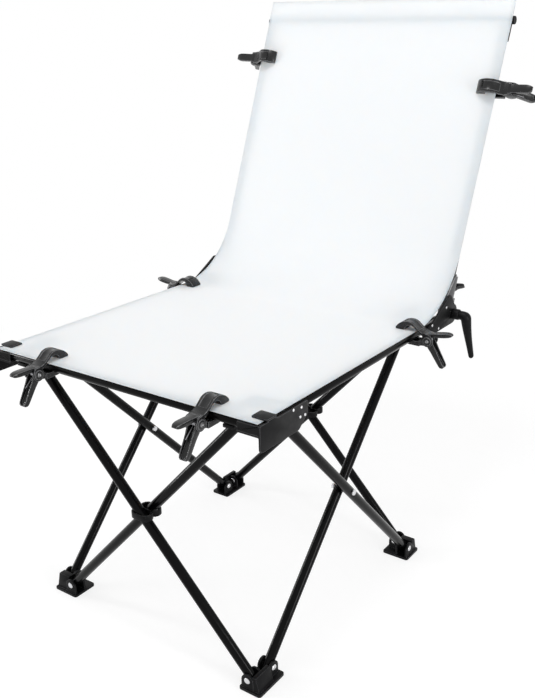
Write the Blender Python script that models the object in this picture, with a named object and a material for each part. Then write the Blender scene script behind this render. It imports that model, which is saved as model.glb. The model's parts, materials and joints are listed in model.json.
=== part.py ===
"""Folding shooting table: scissor-leg base, rail deck, tilting back and a sheet held by spring clamps."""

import math

import bmesh
import bpy
from mathutils import Matrix, Vector

# Deck and base, in metres; X runs along the front rail, Y to the rear, Z up
RAIL_SPACING = 0.590
RAIL_HEIGHT = 0.540
TUBE_D = 0.016
LEG_D = 0.019
LEG_GAP = 0.003
CLEAR = 0.0003
FRONT_EXTRA = 0.014
FRONT_RAIL_GAP = 0.008
HUB_TO_RAIL = 0.006
RAIL_PAST_HUB = 0.060

# Leg pivots
PIN_D = 0.006
PIN_CLEAR = 0.0003
CHEEK = 0.004
LEG_PLAY = 0.0005
END_GAP = 0.0035
FOOT_PIN_Z = 0.022
TOP_PIN_DROP = 0.008
FOOT_CHEEK_R = 0.013
HUB_CHEEK_R = 0.011
FOOT_PLATE = 0.005
FOOT_MARGIN = 0.004
FOOT_BOX = 0.018
FOOT_RIM = 0.005
FOOT_SLANT = 0.007
HUB_PLATE = 0.004
SEAT_T = 0.006
SEAT_REACH = 0.005
COUPLER_T = 0.012
COUPLER_WALL = 0.003
COUPLER_CLEAR = 0.0004

# Front corner plates
PLATE_T = 0.0035
SKIRT_LENGTH = 0.127
SKIRT_DROP = 0.037
CRADLE_LENGTH = 0.041
LEDGE_LENGTH = 0.042
TAB_T = 0.0025
TAB_IN = 0.027
TAB_WIDTH = 0.026
TAB_BACK = 0.018

# Back frame
HINGE_PAST_RAIL = 0.032
HINGE_RISE = 0.007
LEAN = math.radians(22.2)
BAR_REACH = 0.597
BRACKET_T = 0.005
BRACKET_LENGTH = 0.076
SADDLE_LENGTH = 0.038
SADDLE_WALL = 0.004
DISC_RIM = 0.003
CREST_RISE = 0.028
CREST_START = 0.042
PEAK_RISE = 0.041
PEAK_START = 0.019
PEAK_END = 0.010
EAR_R = 0.017
STUD_D = 0.008
SLEEVE_WALL = 0.0027
SLEEVE_START = 0.028
SLEEVE_END = 0.080
UPRIGHT_START = 0.0343
UPRIGHT_INSET = 0.0075
ELBOW_ARM = 0.022
ELBOW_DROP = 0.042
ELBOW_BULGE = 0.0025
SPIGOT_WALL = 0.0015
SPIGOT_LENGTH = 0.018
KNOB_UP = 0.055
KNOB_TURN = math.radians(60)
LEVER_LENGTH = 0.094

# Sheet
SHEET_OVER_SIDE = 0.005
SHEET_T = 0.0012
SHEET_OVER_FRONT = 0.008
SHEET_OVER_BAR = 0.043
SWEEP_R = 0.190
SEAM = 0.0003

# Spring clamps: places before the hubs and along the uprights, then the clamp itself
LEFT_FRONT_CLAMP = 0.069
RIGHT_FRONT_CLAMP = 0.042
SIDE_CLAMP = 0.047
LEFT_BACK_CLAMP = 0.510
RIGHT_BACK_CLAMP = 0.458
CLAMP_W = 0.026
CLAMP_WALL = 0.0035
CLAMP_OUT = 0.032
CLAMP_DROP = 0.005
CLAMP_PIN_D = 0.005
WIRE_D = 0.0016
COIL_R = 0.0042
COIL_PITCH = 0.0021
COIL_TURNS = 4
COIL_POINTS = 8

# Sizes that follow from those above
TUBE_R = TUBE_D / 2
LEG_R = LEG_D / 2
RAIL_X = RAIL_SPACING / 2
UPRIGHT_X = RAIL_X - UPRIGHT_INSET
OFFSET = (LEG_D + LEG_GAP) / 2
HUB_OUTER = RAIL_X - TUBE_R - HUB_TO_RAIL
CLEVIS = LEG_R + LEG_PLAY + CHEEK
SIDE_PLANE = HUB_OUTER - CLEVIS - OFFSET
PIN_HALF = SIDE_PLANE + OFFSET - LEG_R - CLEVIS - END_GAP
FRONT_PLANE = SIDE_PLANE + FRONT_EXTRA
FRONT_RAIL_Y = FRONT_PLANE + OFFSET + CLEVIS + FRONT_RAIL_GAP + TUBE_R
TOP_PIN_Z = RAIL_HEIGHT - TOP_PIN_DROP
LEG_RISE = TOP_PIN_Z - FOOT_PIN_Z
LEG_RUN = 2 * PIN_HALF
LEG_SPAN = math.hypot(LEG_RISE, LEG_RUN)
LEG_ANGLE = math.atan2(LEG_RUN, LEG_RISE)
CROSS_Z = (TOP_PIN_Z + FOOT_PIN_Z) / 2
SEAT_TOP = RAIL_HEIGHT - TUBE_R - CLEAR
SHEET_LOW = RAIL_HEIGHT + TUBE_R + CLEAR
SHEET_TOP = SHEET_LOW + SHEET_T
SKIRT_X = RAIL_X + TUBE_R + CLEAR
SHEET_W = RAIL_SPACING + 2 * SHEET_OVER_SIDE
SIDE_RAIL_END = PIN_HALF + RAIL_PAST_HUB
HINGE_Y = SIDE_RAIL_END + HINGE_PAST_RAIL
HINGE_Z = RAIL_HEIGHT + HINGE_RISE
PLANES = (FRONT_PLANE, SIDE_PLANE, FRONT_PLANE, SIDE_PLANE)
SIDES = ("front", "right", "rear", "left")
CORNERS = ("front_right", "rear_right", "rear_left", "front_left")

parts = None
tools = None
materials = {}


def clear_scene():
    for obj in list(bpy.data.objects):
        bpy.data.objects.remove(obj)
    for collection in list(bpy.data.collections):
        bpy.data.collections.remove(collection)


def add_collections():
    global parts, tools
    parts = bpy.data.collections.new("shooting_table")
    tools = bpy.data.collections.new("construction")
    bpy.context.scene.collection.children.link(parts)
    bpy.context.scene.collection.children.link(tools)


def add_material(name, colour, roughness, metallic=0.0):
    material = bpy.data.materials.new(name)
    material.use_nodes = True
    shader = material.node_tree.nodes["Principled BSDF"]
    shader.inputs["Base Color"].default_value = (*colour, 1.0)
    shader.inputs["Roughness"].default_value = roughness
    shader.inputs["Metallic"].default_value = metallic
    materials[name] = material


def add_materials():
    add_material("black_tube", (0.012, 0.012, 0.013), 0.3)
    add_material("black_moulding", (0.02, 0.02, 0.021), 0.5)
    add_material("black_plate", (0.015, 0.015, 0.016), 0.4)
    add_material("clamp_plastic", (0.035, 0.036, 0.038), 0.45)
    add_material("zinc_steel", (0.6, 0.6, 0.62), 0.3, 1.0)
    add_material("spring_steel", (0.45, 0.45, 0.47), 0.28, 1.0)
    add_material("sheet_pvc", (0.9, 0.91, 0.92), 0.4)


def empty(name, parent=None, location=(0, 0, 0), rotation=(0, 0, 0)):
    obj = bpy.data.objects.new(name, None)
    obj.empty_display_size = 0.05
    obj.parent = parent
    obj.location = location
    obj.rotation_euler = rotation
    parts.objects.link(obj)
    return obj


def helper(mesh):
    obj = bpy.data.objects.new("helper", mesh)
    obj.hide_render = True
    obj.display_type = "WIRE"
    tools.objects.link(obj)
    return obj


def from_bmesh(bm):
    bmesh.ops.recalc_face_normals(bm, faces=bm.faces)
    mesh = bpy.data.meshes.new("shape")
    bm.to_mesh(mesh)
    bm.free()
    return helper(mesh)


def block(x_span, y_span, z_span):
    """A box; the two ends of each span may come in either order."""
    spans = [sorted(span) for span in (x_span, y_span, z_span)]
    bm = bmesh.new()
    bmesh.ops.create_cube(bm, size=1.0)
    bmesh.ops.scale(bm, vec=[high - low for low, high in spans], verts=bm.verts)
    bmesh.ops.translate(bm, vec=[(high + low) / 2 for low, high in spans], verts=bm.verts)
    return from_bmesh(bm)


def rod(start, end, radius, sides=16, edge=0.0, steps=2, end_radius=None):
    """A round bar between two points, or a cone with an end radius; an edge size rounds its rims."""
    start = Vector(start)
    end = Vector(end)
    far = radius if end_radius is None else end_radius
    bm = bmesh.new()
    bmesh.ops.create_cone(bm, cap_ends=True, segments=sides, radius1=radius, radius2=far,
                          depth=(end - start).length)
    if edge:
        rims = [e for e in bm.edges if abs(e.verts[0].co.z - e.verts[1].co.z) < 1e-7]
        bmesh.ops.bevel(bm, geom=rims, offset=edge, segments=steps, profile=0.5, affect="EDGES")
    turn = (end - start).to_track_quat("Z", "Y").to_matrix().to_4x4()
    bmesh.ops.transform(bm, matrix=Matrix.Translation((start + end) / 2) @ turn, verts=bm.verts)
    return from_bmesh(bm)


AXES = {
    "XY": Matrix(((1, 0, 0), (0, 1, 0), (0, 0, 1))),
    "YZ": Matrix(((0, 0, 1), (1, 0, 0), (0, 1, 0))),
    "XZ": Matrix(((1, 0, 0), (0, 0, -1), (0, 1, 0))),
}


def prism(outline, span, plane):
    """An outline in the named plane pushed along the third axis from one end of the span to the other."""
    low, high = sorted(span)
    curve = bpy.data.curves.new("outline", "CURVE")
    curve.dimensions = "2D"
    curve.fill_mode = "BOTH"
    curve.extrude = (high - low) / 2
    spline = curve.splines.new("POLY")
    spline.points.add(len(outline) - 1)
    for point, (first, second) in zip(spline.points, outline):
        point.co = (first, second, 0.0, 1.0)
    spline.use_cyclic_u = True
    source = bpy.data.objects.new("outline", curve)
    bm = bmesh.new()
    flat = bpy.data.meshes.new_from_object(source)
    bm.from_mesh(flat)
    bmesh.ops.remove_doubles(bm, verts=bm.verts, dist=1e-6)
    middle = Vector((0, 0, (low + high) / 2))
    if plane == "XZ":
        middle.z = -middle.z
    bmesh.ops.translate(bm, vec=middle, verts=bm.verts)
    bmesh.ops.transform(bm, matrix=AXES[plane].to_4x4(), verts=bm.verts)
    bpy.data.objects.remove(source)
    bpy.data.curves.remove(curve)
    bpy.data.meshes.remove(flat)
    return from_bmesh(bm)


def arc(centre, radius, start, end, count):
    """Points on a circle from one angle to another, in degrees, both ends included."""
    found = []
    for step in range(count + 1):
        angle = math.radians(start + (end - start) * step / count)
        found.append((centre[0] + radius * math.cos(angle), centre[1] + radius * math.sin(angle)))
    return found


def fillet(corners, steps=3):
    """An outline of (a, b, radius) corners, each rounded by its radius."""
    found = []
    for index, (a, b, radius) in enumerate(corners):
        here = Vector((a, b))
        if not radius:
            found.append((a, b))
            continue
        to_last = (Vector(corners[index - 1][:2]) - here).normalized()
        to_next = (Vector(corners[(index + 1) % len(corners)][:2]) - here).normalized()
        angle = to_last.angle(to_next)
        centre = here + (to_last + to_next).normalized() * radius / math.sin(angle / 2)
        start = here + to_last * radius / math.tan(angle / 2) - centre
        end = here + to_next * radius / math.tan(angle / 2) - centre
        turn = math.copysign(math.pi - angle, start.x * end.y - start.y * end.x)
        for step in range(steps + 1):
            part = turn * step / steps
            found.append((centre.x + start.x * math.cos(part) - start.y * math.sin(part),
                          centre.y + start.x * math.sin(part) + start.y * math.cos(part)))
    return found


def rectangle(x_span, y_span, radius):
    x_low, x_high = sorted(x_span)
    y_low, y_high = sorted(y_span)
    return fillet([(x_low, y_low, radius), (x_high, y_low, radius),
                   (x_high, y_high, radius), (x_low, y_high, radius)])


def combined(joins, cuts=()):
    """One mesh from the shapes to join, less the shapes to cut away."""
    base = joins[0]
    for operation, shapes in (("UNION", joins[1:]), ("DIFFERENCE", cuts)):
        for shape in shapes:
            modifier = base.modifiers.new("combine", "BOOLEAN")
            modifier.operation = operation
            modifier.solver = "EXACT"
            modifier.object = shape
    graph = bpy.context.evaluated_depsgraph_get()
    mesh = bpy.data.meshes.new_from_object(base.evaluated_get(graph))
    for shape in [*joins, *cuts]:
        bpy.data.objects.remove(shape)
    return mesh


def piece(name, mesh, material, parent, location=(0, 0, 0), rotation=(0, 0, 0)):
    """A named sub-part; its mesh is in its own frame."""
    if not mesh.materials:
        mesh.materials.append(materials[material])
    mesh.name = name
    obj = bpy.data.objects.new(name, mesh)
    obj.parent = parent
    obj.location = location
    obj.rotation_euler = rotation
    parts.objects.link(obj)
    if obj.type == "MESH":
        mesh.shade_smooth()
        mesh.set_sharp_from_angle(angle=math.radians(35))
    return obj


def moved(mesh, origin):
    """The same mesh with its origin at a point, so that a moving piece turns about its own axis."""
    mesh.transform(Matrix.Translation(-Vector(origin)))
    return mesh


def side_turn(side):
    return math.radians(90 * side)


def side_place(side, along, out, height):
    """A point given along a side, outward from the centre and up, in the base's frame."""
    x, y = along, -out
    for _ in range(side):
        x, y = -y, x
    return (x, y, height)


def leg_mesh(with_bolt_hole):
    """A leg tube along Z from its bottom pin; pins run along Y."""
    tube = rod((0, 0, -LEG_R), (0, 0, LEG_SPAN + LEG_R), LEG_R, 18, LEG_R * 0.9, 2)
    heights = [0.0, LEG_SPAN]
    if with_bolt_hole:
        heights.append(LEG_SPAN / 2)
    hole_r = PIN_D / 2 + PIN_CLEAR
    holes = [rod((0, -LEG_D, z), (0, LEG_D, z), hole_r, 8) for z in heights]
    return combined([tube], holes)


def add_legs(base):
    plain = leg_mesh(False)
    bolted = leg_mesh(True)
    for side, side_name in enumerate(SIDES):
        mesh = bolted if side % 2 else plain
        for name, sign in (("outer", 1), ("inner", -1)):
            place = side_place(side, sign * PIN_HALF, PLANES[side] + sign * OFFSET, FOOT_PIN_Z)
            turn = (0, -sign * LEG_ANGLE, side_turn(side))
            piece(f"leg_{side_name}_{name}", mesh, "black_tube", base, place, turn)


def cheek_outline(centre, height, radius, level):
    """A tongue: round about the pin and straight to a level above or below it."""
    if level < height:
        return [(centre + radius, level), *arc((centre, height), radius, 0, 180, 8),
                (centre - radius, level)]
    return [(centre - radius, level), *arc((centre, height), radius, 180, 360, 8),
            (centre + radius, level)]


def clevis(across, out, height, radius, level, swap):
    """Two cheeks and the pin between them; swap puts the pin along X instead of Y."""
    inside = LEG_R + LEG_PLAY
    outline = cheek_outline(across, height, radius, level)
    shapes = []
    for near, far in ((inside, CLEVIS), (-CLEVIS, -inside)):
        shapes.append(prism(outline, (out + near, out + far), "YZ" if swap else "XZ"))
    ends = (out - CLEVIS + 0.001, out + CLEVIS - 0.001)
    line = [(end, across, height) if swap else (across, end, height) for end in ends]
    shapes.append(rod(*line, PIN_D / 2, 12))
    return shapes


def foot_mesh(corner):
    """A foot in the frame of a front right corner: the outer leg lies along X, the inner one along Y."""
    front = -(PLANES[corner] + OFFSET)
    side = PLANES[(corner + 1) % 4] - OFFSET
    level = FOOT_PLATE / 2
    x_low = min(PIN_HALF - FOOT_CHEEK_R, side - CLEVIS) - FOOT_MARGIN
    x_high = max(PIN_HALF + FOOT_CHEEK_R + FOOT_BOX, side + CLEVIS + FOOT_MARGIN)
    y_low = front - CLEVIS - FOOT_MARGIN
    y_high = -(PIN_HALF - FOOT_CHEEK_R) + FOOT_MARGIN
    plate = prism(rectangle((x_low, x_high), (y_low, y_high), 0.005), (0, FOOT_PLATE), "XY")
    box_x = PIN_HALF + LEG_R + 0.002
    wall_x = x_high - FOOT_RIM
    box_top = FOOT_PIN_Z + FOOT_CHEEK_R - 0.001
    box = prism([(box_x, level), (wall_x, level), (wall_x, FOOT_PLATE + 0.002), (wall_x - FOOT_SLANT, box_top),
                 (box_x, box_top)], (front - CLEVIS + 0.0005, 0.001 - PIN_HALF - FOOT_CHEEK_R), "XZ")
    shapes = [plate, box]
    shapes += clevis(PIN_HALF, front, FOOT_PIN_Z, FOOT_CHEEK_R, level, False)
    shapes += clevis(-PIN_HALF, side, FOOT_PIN_Z, FOOT_CHEEK_R, level, True)
    return combined(shapes)


def hub_mesh(corner, front_rail, side_rail):
    """A leg hub in the frame of a front right corner, with a seat under each rail that passes it."""
    front = -(PLANES[corner] - OFFSET)
    side = PLANES[(corner + 1) % 4] + OFFSET
    plate_low = TOP_PIN_Z + LEG_R + 0.0008
    level = plate_low + HUB_PLATE / 2
    x_low = PIN_HALF - HUB_CHEEK_R
    y_high = -(PIN_HALF - HUB_CHEEK_R)
    plate = prism(rectangle((x_low - 0.0005, side + CLEVIS + 0.0005),
                            (front - CLEVIS - 0.0005, y_high + 0.0005), 0.004),
                  (plate_low, plate_low + HUB_PLATE), "XY")
    shapes = [plate]
    shapes += clevis(PIN_HALF, front, TOP_PIN_Z, HUB_CHEEK_R, level, False)
    shapes += clevis(-PIN_HALF, side, TOP_PIN_Z, HUB_CHEEK_R, level, True)
    half = HUB_CHEEK_R - 0.001
    heights = (SEAT_TOP - SEAT_T, SEAT_TOP)
    if front_rail:
        shapes.append(block((PIN_HALF - half, PIN_HALF + half),
                            (-front_rail - SEAT_REACH, front - CLEVIS + 0.002), heights))
    if side_rail:
        shapes.append(block((side + CLEVIS - 0.002, side_rail + SEAT_REACH),
                            (-PIN_HALF - half, -PIN_HALF + half), heights))
    return combined(shapes)


def add_corners(base):
    rails = ((FRONT_RAIL_Y, RAIL_X), (RAIL_X, None), (None, RAIL_X), (RAIL_X, FRONT_RAIL_Y))
    for corner, name in enumerate(CORNERS):
        turn = (0, 0, side_turn(corner))
        foot_pin = Vector((PIN_HALF, -(PLANES[corner] + OFFSET), FOOT_PIN_Z))
        hub_pin = Vector((PIN_HALF, -(PLANES[corner] - OFFSET), TOP_PIN_Z))
        foot = moved(foot_mesh(corner), foot_pin)
        place = side_place(corner, foot_pin.x, -foot_pin.y, foot_pin.z)
        piece(f"foot_{name}", foot, "black_moulding", base, place, turn)
        hub = moved(hub_mesh(corner, *rails[corner]), hub_pin)
        place = side_place(corner, hub_pin.x, -hub_pin.y, hub_pin.z)
        piece(f"hub_{name}", hub, "black_moulding", base, place, turn)


def stadium(straight, radius, middle):
    return [*arc((straight, middle), radius, -90, 90, 7), *arc((-straight, middle), radius, 90, 270, 7)]


def coupler_mesh():
    """A figure-eight collar round two crossing legs; its origin is the crossing."""
    hole_r = LEG_R + COUPLER_CLEAR
    length = LEG_R / math.cos(LEG_ANGLE) + COUPLER_T / 2 * math.tan(LEG_ANGLE) + COUPLER_CLEAR
    straight = length - hole_r
    half = COUPLER_T / 2
    rings = []
    holes = []
    for middle in (-OFFSET, OFFSET):
        rings.append(prism(stadium(straight, hole_r + COUPLER_WALL, middle), (-half, half), "XY"))
        holes.append(prism(stadium(straight, hole_r, middle), (-2 * half, 2 * half), "XY"))
    return combined(rings, holes)


def bolt_mesh():
    """A scissor bolt along Y with head, nut and the spacer between the two legs."""
    face = OFFSET + LEG_R + CLEAR
    spacer = LEG_GAP / 2 - CLEAR
    shank = rod((0, -face - 0.002, 0), (0, face + 0.002, 0), PIN_D / 2, 12)
    head = rod((0, -face - 0.0035, 0), (0, -face, 0), PIN_D, 16, 0.001, 2)
    nut = rod((0, face, 0), (0, face + 0.0045, 0), PIN_D * 0.95, 6)
    washer = rod((0, -spacer, 0), (0, spacer, 0), PIN_D * 1.1, 16)
    return combined([shank, head, nut, washer])


def add_crossings(base):
    collar = coupler_mesh()
    bolt = bolt_mesh()
    for side, side_name in enumerate(SIDES):
        place = side_place(side, 0, PLANES[side], CROSS_Z)
        turn = (0, 0, side_turn(side))
        if side % 2:
            piece(f"bolt_{side_name}", bolt, "zinc_steel", base, place, turn)
        else:
            piece(f"coupler_{side_name}", collar, "black_moulding", base, place, turn)


def add_rails(deck):
    end = RAIL_X + TUBE_R
    front = rod((-end, -FRONT_RAIL_Y, RAIL_HEIGHT), (end, -FRONT_RAIL_Y, RAIL_HEIGHT), TUBE_R, 20, 0.001)
    piece("rail_front", combined([front]), "black_tube", deck)
    start = -(FRONT_RAIL_Y - TUBE_R - CLEAR)
    for name, sign in (("right", 1), ("left", -1)):
        ends = [(sign * RAIL_X, y, RAIL_HEIGHT) for y in (start, SIDE_RAIL_END)]
        piece(f"rail_{name}", combined([rod(*ends, TUBE_R, 20, 0.001)]), "black_tube", deck)


def corner_plate_mesh(sign):
    """The front corner: a side skirt, a cradle under both rail ends and a tab over the sheet's corner."""
    inner, outer = sign * SKIRT_X, sign * (SKIRT_X + PLATE_T)
    front = -(FRONT_RAIL_Y + TUBE_R + CLEAR + PLATE_T)
    back = front + SKIRT_LENGTH
    low = RAIL_HEIGHT - SKIRT_DROP
    top = RAIL_HEIGHT + TUBE_R
    bite = sign * PLATE_T / 2
    tab_y = (front + TAB_BACK, front + TAB_BACK + TAB_WIDTH)
    tab_z = (SHEET_TOP + CLEAR, SHEET_TOP + CLEAR + TAB_T)
    stem_top = tab_z[0] + TAB_T / 2
    skirt = prism(fillet([(front, low, 0.006), (back - 0.025, low, 0.006), (back, low + 0.02, 0.004),
                          (back, top, 0.004), (tab_y[1] - 0.004, top, 0), (tab_y[1] - 0.004, stem_top, 0),
                          (tab_y[0] + 0.004, stem_top, 0), (tab_y[0] + 0.004, top, 0), (front, top, 0.003)]),
                  (inner, outer), "YZ")
    tab = prism(rectangle((sign * (SKIRT_X - TAB_IN), outer + sign * CLEAR), tab_y, 0.003), tab_z, "XY")
    cradle_x = sign * (SKIRT_X - CRADLE_LENGTH)
    ledge_x = sign * (RAIL_X - TUBE_R - 0.003)
    rail_back = -(FRONT_RAIL_Y - TUBE_R)
    tray = prism([(cradle_x, front + CLEAR), (inner + bite, front + CLEAR),
                  (inner + bite, rail_back + LEDGE_LENGTH), (ledge_x, rail_back + LEDGE_LENGTH),
                  (ledge_x, rail_back), (cradle_x, rail_back)], (SEAT_TOP - PLATE_T, SEAT_TOP), "XY")
    wall = block((cradle_x + sign * CLEAR, inner + bite), (front + 2 * CLEAR, front + PLATE_T),
                 (SEAT_TOP - PLATE_T / 2, top - 0.001))
    return combined([skirt, tab, tray, wall])


def bracket_mesh(sign):
    """The rear hinge bracket: a saddle round the side rail and an outer plate that carries the hinge stud."""
    plate = (sign * SKIRT_X, sign * (SKIRT_X + BRACKET_T))
    inner_face = sign * (RAIL_X - TUBE_R - CLEAR)
    disc_r = EAR_R + DISC_RIM
    floor_low = HINGE_Z - disc_r
    y_start = SIDE_RAIL_END - SADDLE_LENGTH
    y_end = SIDE_RAIL_END + 0.002
    plate_start = SIDE_RAIL_END - BRACKET_LENGTH
    outline = [(plate_start + 0.003, floor_low), *arc((HINGE_Y, HINGE_Z), disc_r, -90, 70, 10),
               (HINGE_Y - PEAK_END, HINGE_Z + PEAK_RISE), (HINGE_Y - PEAK_START, HINGE_Z + PEAK_RISE),
               (HINGE_Y - CREST_START, HINGE_Z + CREST_RISE),
               (plate_start, RAIL_HEIGHT), (plate_start, floor_low + 0.003)]
    outer = prism(outline, plate, "YZ")
    wall = inner_face - sign * SADDLE_WALL
    saddle = prism([(inner_face, RAIL_HEIGHT + TUBE_R - 0.002), (inner_face, SEAT_TOP),
                    (plate[0] + sign * BRACKET_T / 2, SEAT_TOP),
                    (plate[0] + sign * BRACKET_T / 2, floor_low + 0.0005),
                    (wall, floor_low + 0.0005),
                    (wall, RAIL_HEIGHT + TUBE_R - 0.002)], (y_start, y_end), "XZ")
    hole = rod((sign * (RAIL_X - 0.02), HINGE_Y, HINGE_Z), (sign * (RAIL_X + 0.04), HINGE_Y, HINGE_Z),
               STUD_D / 2 + CLEAR, 14)
    return combined([outer, saddle], [hole])


def socket_mesh(sign):
    """The upright's socket in the back's frame: an ear on the hinge, a sleeve and a web in front of it."""
    ear = (sign * (UPRIGHT_X - 0.005), sign * (SKIRT_X - 2 * CLEAR))
    web = (sign * (UPRIGHT_X + 0.003), ear[1])
    sleeve_r = TUBE_R + CLEAR + SLEEVE_WALL
    x = sign * UPRIGHT_X
    shapes = [rod((ear[0], 0, 0), (ear[1], 0, 0), EAR_R, 24)]
    shapes.append(rod((x, 0, SLEEVE_START), (x, 0, SLEEVE_END), sleeve_r, 20, 0.0008))
    shapes.append(block(ear, (-0.008, 0.008), (0.004, SLEEVE_START + 0.004)))
    shapes.append(prism([(0.0, SLEEVE_END - 0.004), (-0.012, SLEEVE_END - 0.008), (-0.030, 0.032),
                         (-0.015, 0.006), (0.0, 0.006)], web, "YZ"))
    cuts = [rod((x, 0, UPRIGHT_START - CLEAR), (x, 0, SLEEVE_END + 0.01), TUBE_R + CLEAR, 20)]
    cuts.append(rod((sign * (RAIL_X - 0.03), 0, 0), (sign * (RAIL_X + 0.03), 0, 0), STUD_D / 2 + CLEAR, 14))
    cuts.append(rod((x, 0.004, KNOB_UP), (x, 0.03, KNOB_UP), 0.0028, 10))
    return combined(shapes, cuts)


def knob_mesh():
    """A wing screw along Y, its tip at the origin."""
    screw = rod((0, 0, 0), (0, 0.008, 0), 0.0025, 10)
    boss = rod((0, 0.0045, 0), (0, 0.020, 0), 0.007, 16, 0.0012)
    wings = prism(fillet([(0.010, -0.0135, 0.003), (0.0275, -0.0165, 0.004), (0.018, -0.006, 0.003),
                          (0.018, 0.006, 0.003), (0.0275, 0.0165, 0.004), (0.010, 0.0135, 0.003)], 2),
                  (-0.0022, 0.0022), "YZ")
    wings.data.transform(Matrix.Rotation(KNOB_TURN, 4, "Y"))
    return combined([screw, boss, wings])


def lever_mesh(sign):
    """A clamping lever: the stud through the hinge, a hub and a handle that hangs outside the bracket."""
    hub_x = SKIRT_X + BRACKET_T + CLEAR
    ear_x = UPRIGHT_X - 0.005 - CLEAR
    stud = rod((sign * (ear_x - 0.003), 0, 0), (sign * (hub_x + 0.004), 0, 0), STUD_D / 2, 14)
    nut = rod((sign * (ear_x - 0.0055), 0, 0), (sign * ear_x, 0, 0), 0.0065, 6)
    hub = rod((sign * hub_x, 0, 0), (sign * (hub_x + 0.015), 0, 0), 0.011, 18, 0.0015)
    root = (sign * (hub_x + 0.010), 0, -0.001)
    elbow = (sign * (hub_x + 0.028), 0.001, -0.004)
    tip = (sign * (hub_x + 0.040), 0.018, -LEVER_LENGTH)
    arm = rod(root, elbow, 0.009, 12)
    bend_top = (elbow[0], elbow[1], elbow[2] + 0.0095)
    bend_end = (elbow[0], elbow[1], elbow[2] - 0.010)
    bend = rod(bend_top, bend_end, 0.0095, 12, 0.004)
    handle = rod(elbow, tip, 0.0085, 12, 0.002, 2, 0.0055)
    return combined([stud, nut, hub, arm, bend, handle])


def upright_mesh():
    """An upright along Z from the hinge, with the top bore that the elbow's spigot fills."""
    top = BAR_REACH - ELBOW_DROP - CLEAR
    tube = rod((0, 0, UPRIGHT_START), (0, 0, top), TUBE_R, 20)
    bore = rod((0, 0, top - SPIGOT_LENGTH - 0.0005), (0, 0, top + 0.01), TUBE_R - SPIGOT_WALL + CLEAR, 16)
    return combined([tube], [bore])


def elbow_mesh(sign):
    """A top elbow with its spigots; its origin is where the upright meets the crossbar."""
    spigot_r = TUBE_R - SPIGOT_WALL
    inward = -sign
    out = sign * (UPRIGHT_INSET + TUBE_R)
    shapes = [rod((inward * ELBOW_ARM, 0, 0), (out, 0, 0), TUBE_R, 18, 0.0012)]
    wide = (TUBE_R + ELBOW_BULGE) / (TUBE_R - CLEAR)
    oval = [(x * wide, y) for x, y in arc((0, 0), TUBE_R - CLEAR, 0, 342, 19)]
    shapes.append(prism(oval, (-ELBOW_DROP, TUBE_R / 2), "XY"))
    shapes.append(rod((0, 0, -ELBOW_DROP - SPIGOT_LENGTH), (0, 0, -ELBOW_DROP + 0.003), spigot_r, 14))
    shapes.append(rod((inward * (ELBOW_ARM + SPIGOT_LENGTH), 0, 0), (inward * (ELBOW_ARM - 0.003), 0, 0),
                      spigot_r, 14))
    return combined(shapes)


def crossbar_mesh():
    end = UPRIGHT_X - ELBOW_ARM - CLEAR
    bore_r = TUBE_R - SPIGOT_WALL + CLEAR
    tube = rod((-end, 0, 0), (end, 0, 0), TUBE_R, 20)
    bores = []
    for sign in (-1, 1):
        depth = end - SPIGOT_LENGTH - 0.0005
        bores.append(rod((sign * depth, 0, 0), (sign * (end + 0.01), 0, 0), bore_r, 16))
    return combined([tube], bores)


def add_deck(deck, back):
    for name, sign in (("right", 1), ("left", -1)):
        piece(f"corner_plate_{name}", corner_plate_mesh(sign), "black_plate", deck)
        piece(f"hinge_bracket_{name}", bracket_mesh(sign), "black_plate", deck)
        piece(f"lever_{name}", lever_mesh(sign), "black_moulding", deck, (0, HINGE_Y, HINGE_Z))
        piece(f"socket_{name}", socket_mesh(sign), "black_plate", back)
        piece(f"knob_{name}", knob_mesh(), "black_moulding", back,
              (sign * UPRIGHT_X, TUBE_R + CLEAR, KNOB_UP))
        piece(f"upright_{name}", upright_mesh(), "black_tube", back, (sign * UPRIGHT_X, 0, 0))
        piece(f"elbow_{name}", elbow_mesh(sign), "black_moulding", back, (sign * UPRIGHT_X, 0, BAR_REACH))
    piece("crossbar", crossbar_mesh(), "black_tube", back, (0, 0, BAR_REACH))


def add_sheet(deck, back):
    """The sheet lies on the rails, sweeps up and lies on the front of the uprights."""
    away = TUBE_R + CLEAR
    reach = (SHEET_LOW - HINGE_Z - away * math.sin(LEAN)) / math.cos(LEAN)
    corner_y = HINGE_Y + reach * math.sin(LEAN) - away * math.cos(LEAN)
    turn = math.pi / 2 - LEAN
    tangent = SWEEP_R * math.tan(turn / 2)
    front = -(FRONT_RAIL_Y + SHEET_OVER_FRONT)
    table_end = corner_y - tangent
    half = SHEET_W / 2
    table = block((-half, half), (front, table_end - SEAM), (SHEET_LOW, SHEET_TOP))
    piece("sheet_table", combined([table]), "sheet_pvc", deck)
    centre = (table_end, SHEET_LOW + SWEEP_R)
    trim = math.degrees(SEAM / SWEEP_R)
    bend = math.degrees(turn) - 90 - trim
    outline = [*arc(centre, SWEEP_R, -90 + trim, bend, 20),
               *arc(centre, SWEEP_R - SHEET_T, bend, -90 + trim, 20)]
    piece("sheet_sweep", combined([prism(outline, (-half, half), "YZ")]), "sheet_pvc", deck)
    top = BAR_REACH + SHEET_OVER_BAR
    panel = block((-half, half), (-away - SHEET_T, -away), (reach + tangent + SEAM, top))
    piece("sheet_back", combined([panel]), "sheet_pvc", back)
    flat = table_end - front + SWEEP_R * turn + top - reach - tangent
    print(f"sheet: {SHEET_W:.3f} x {flat:.4f} m flat")


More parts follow.
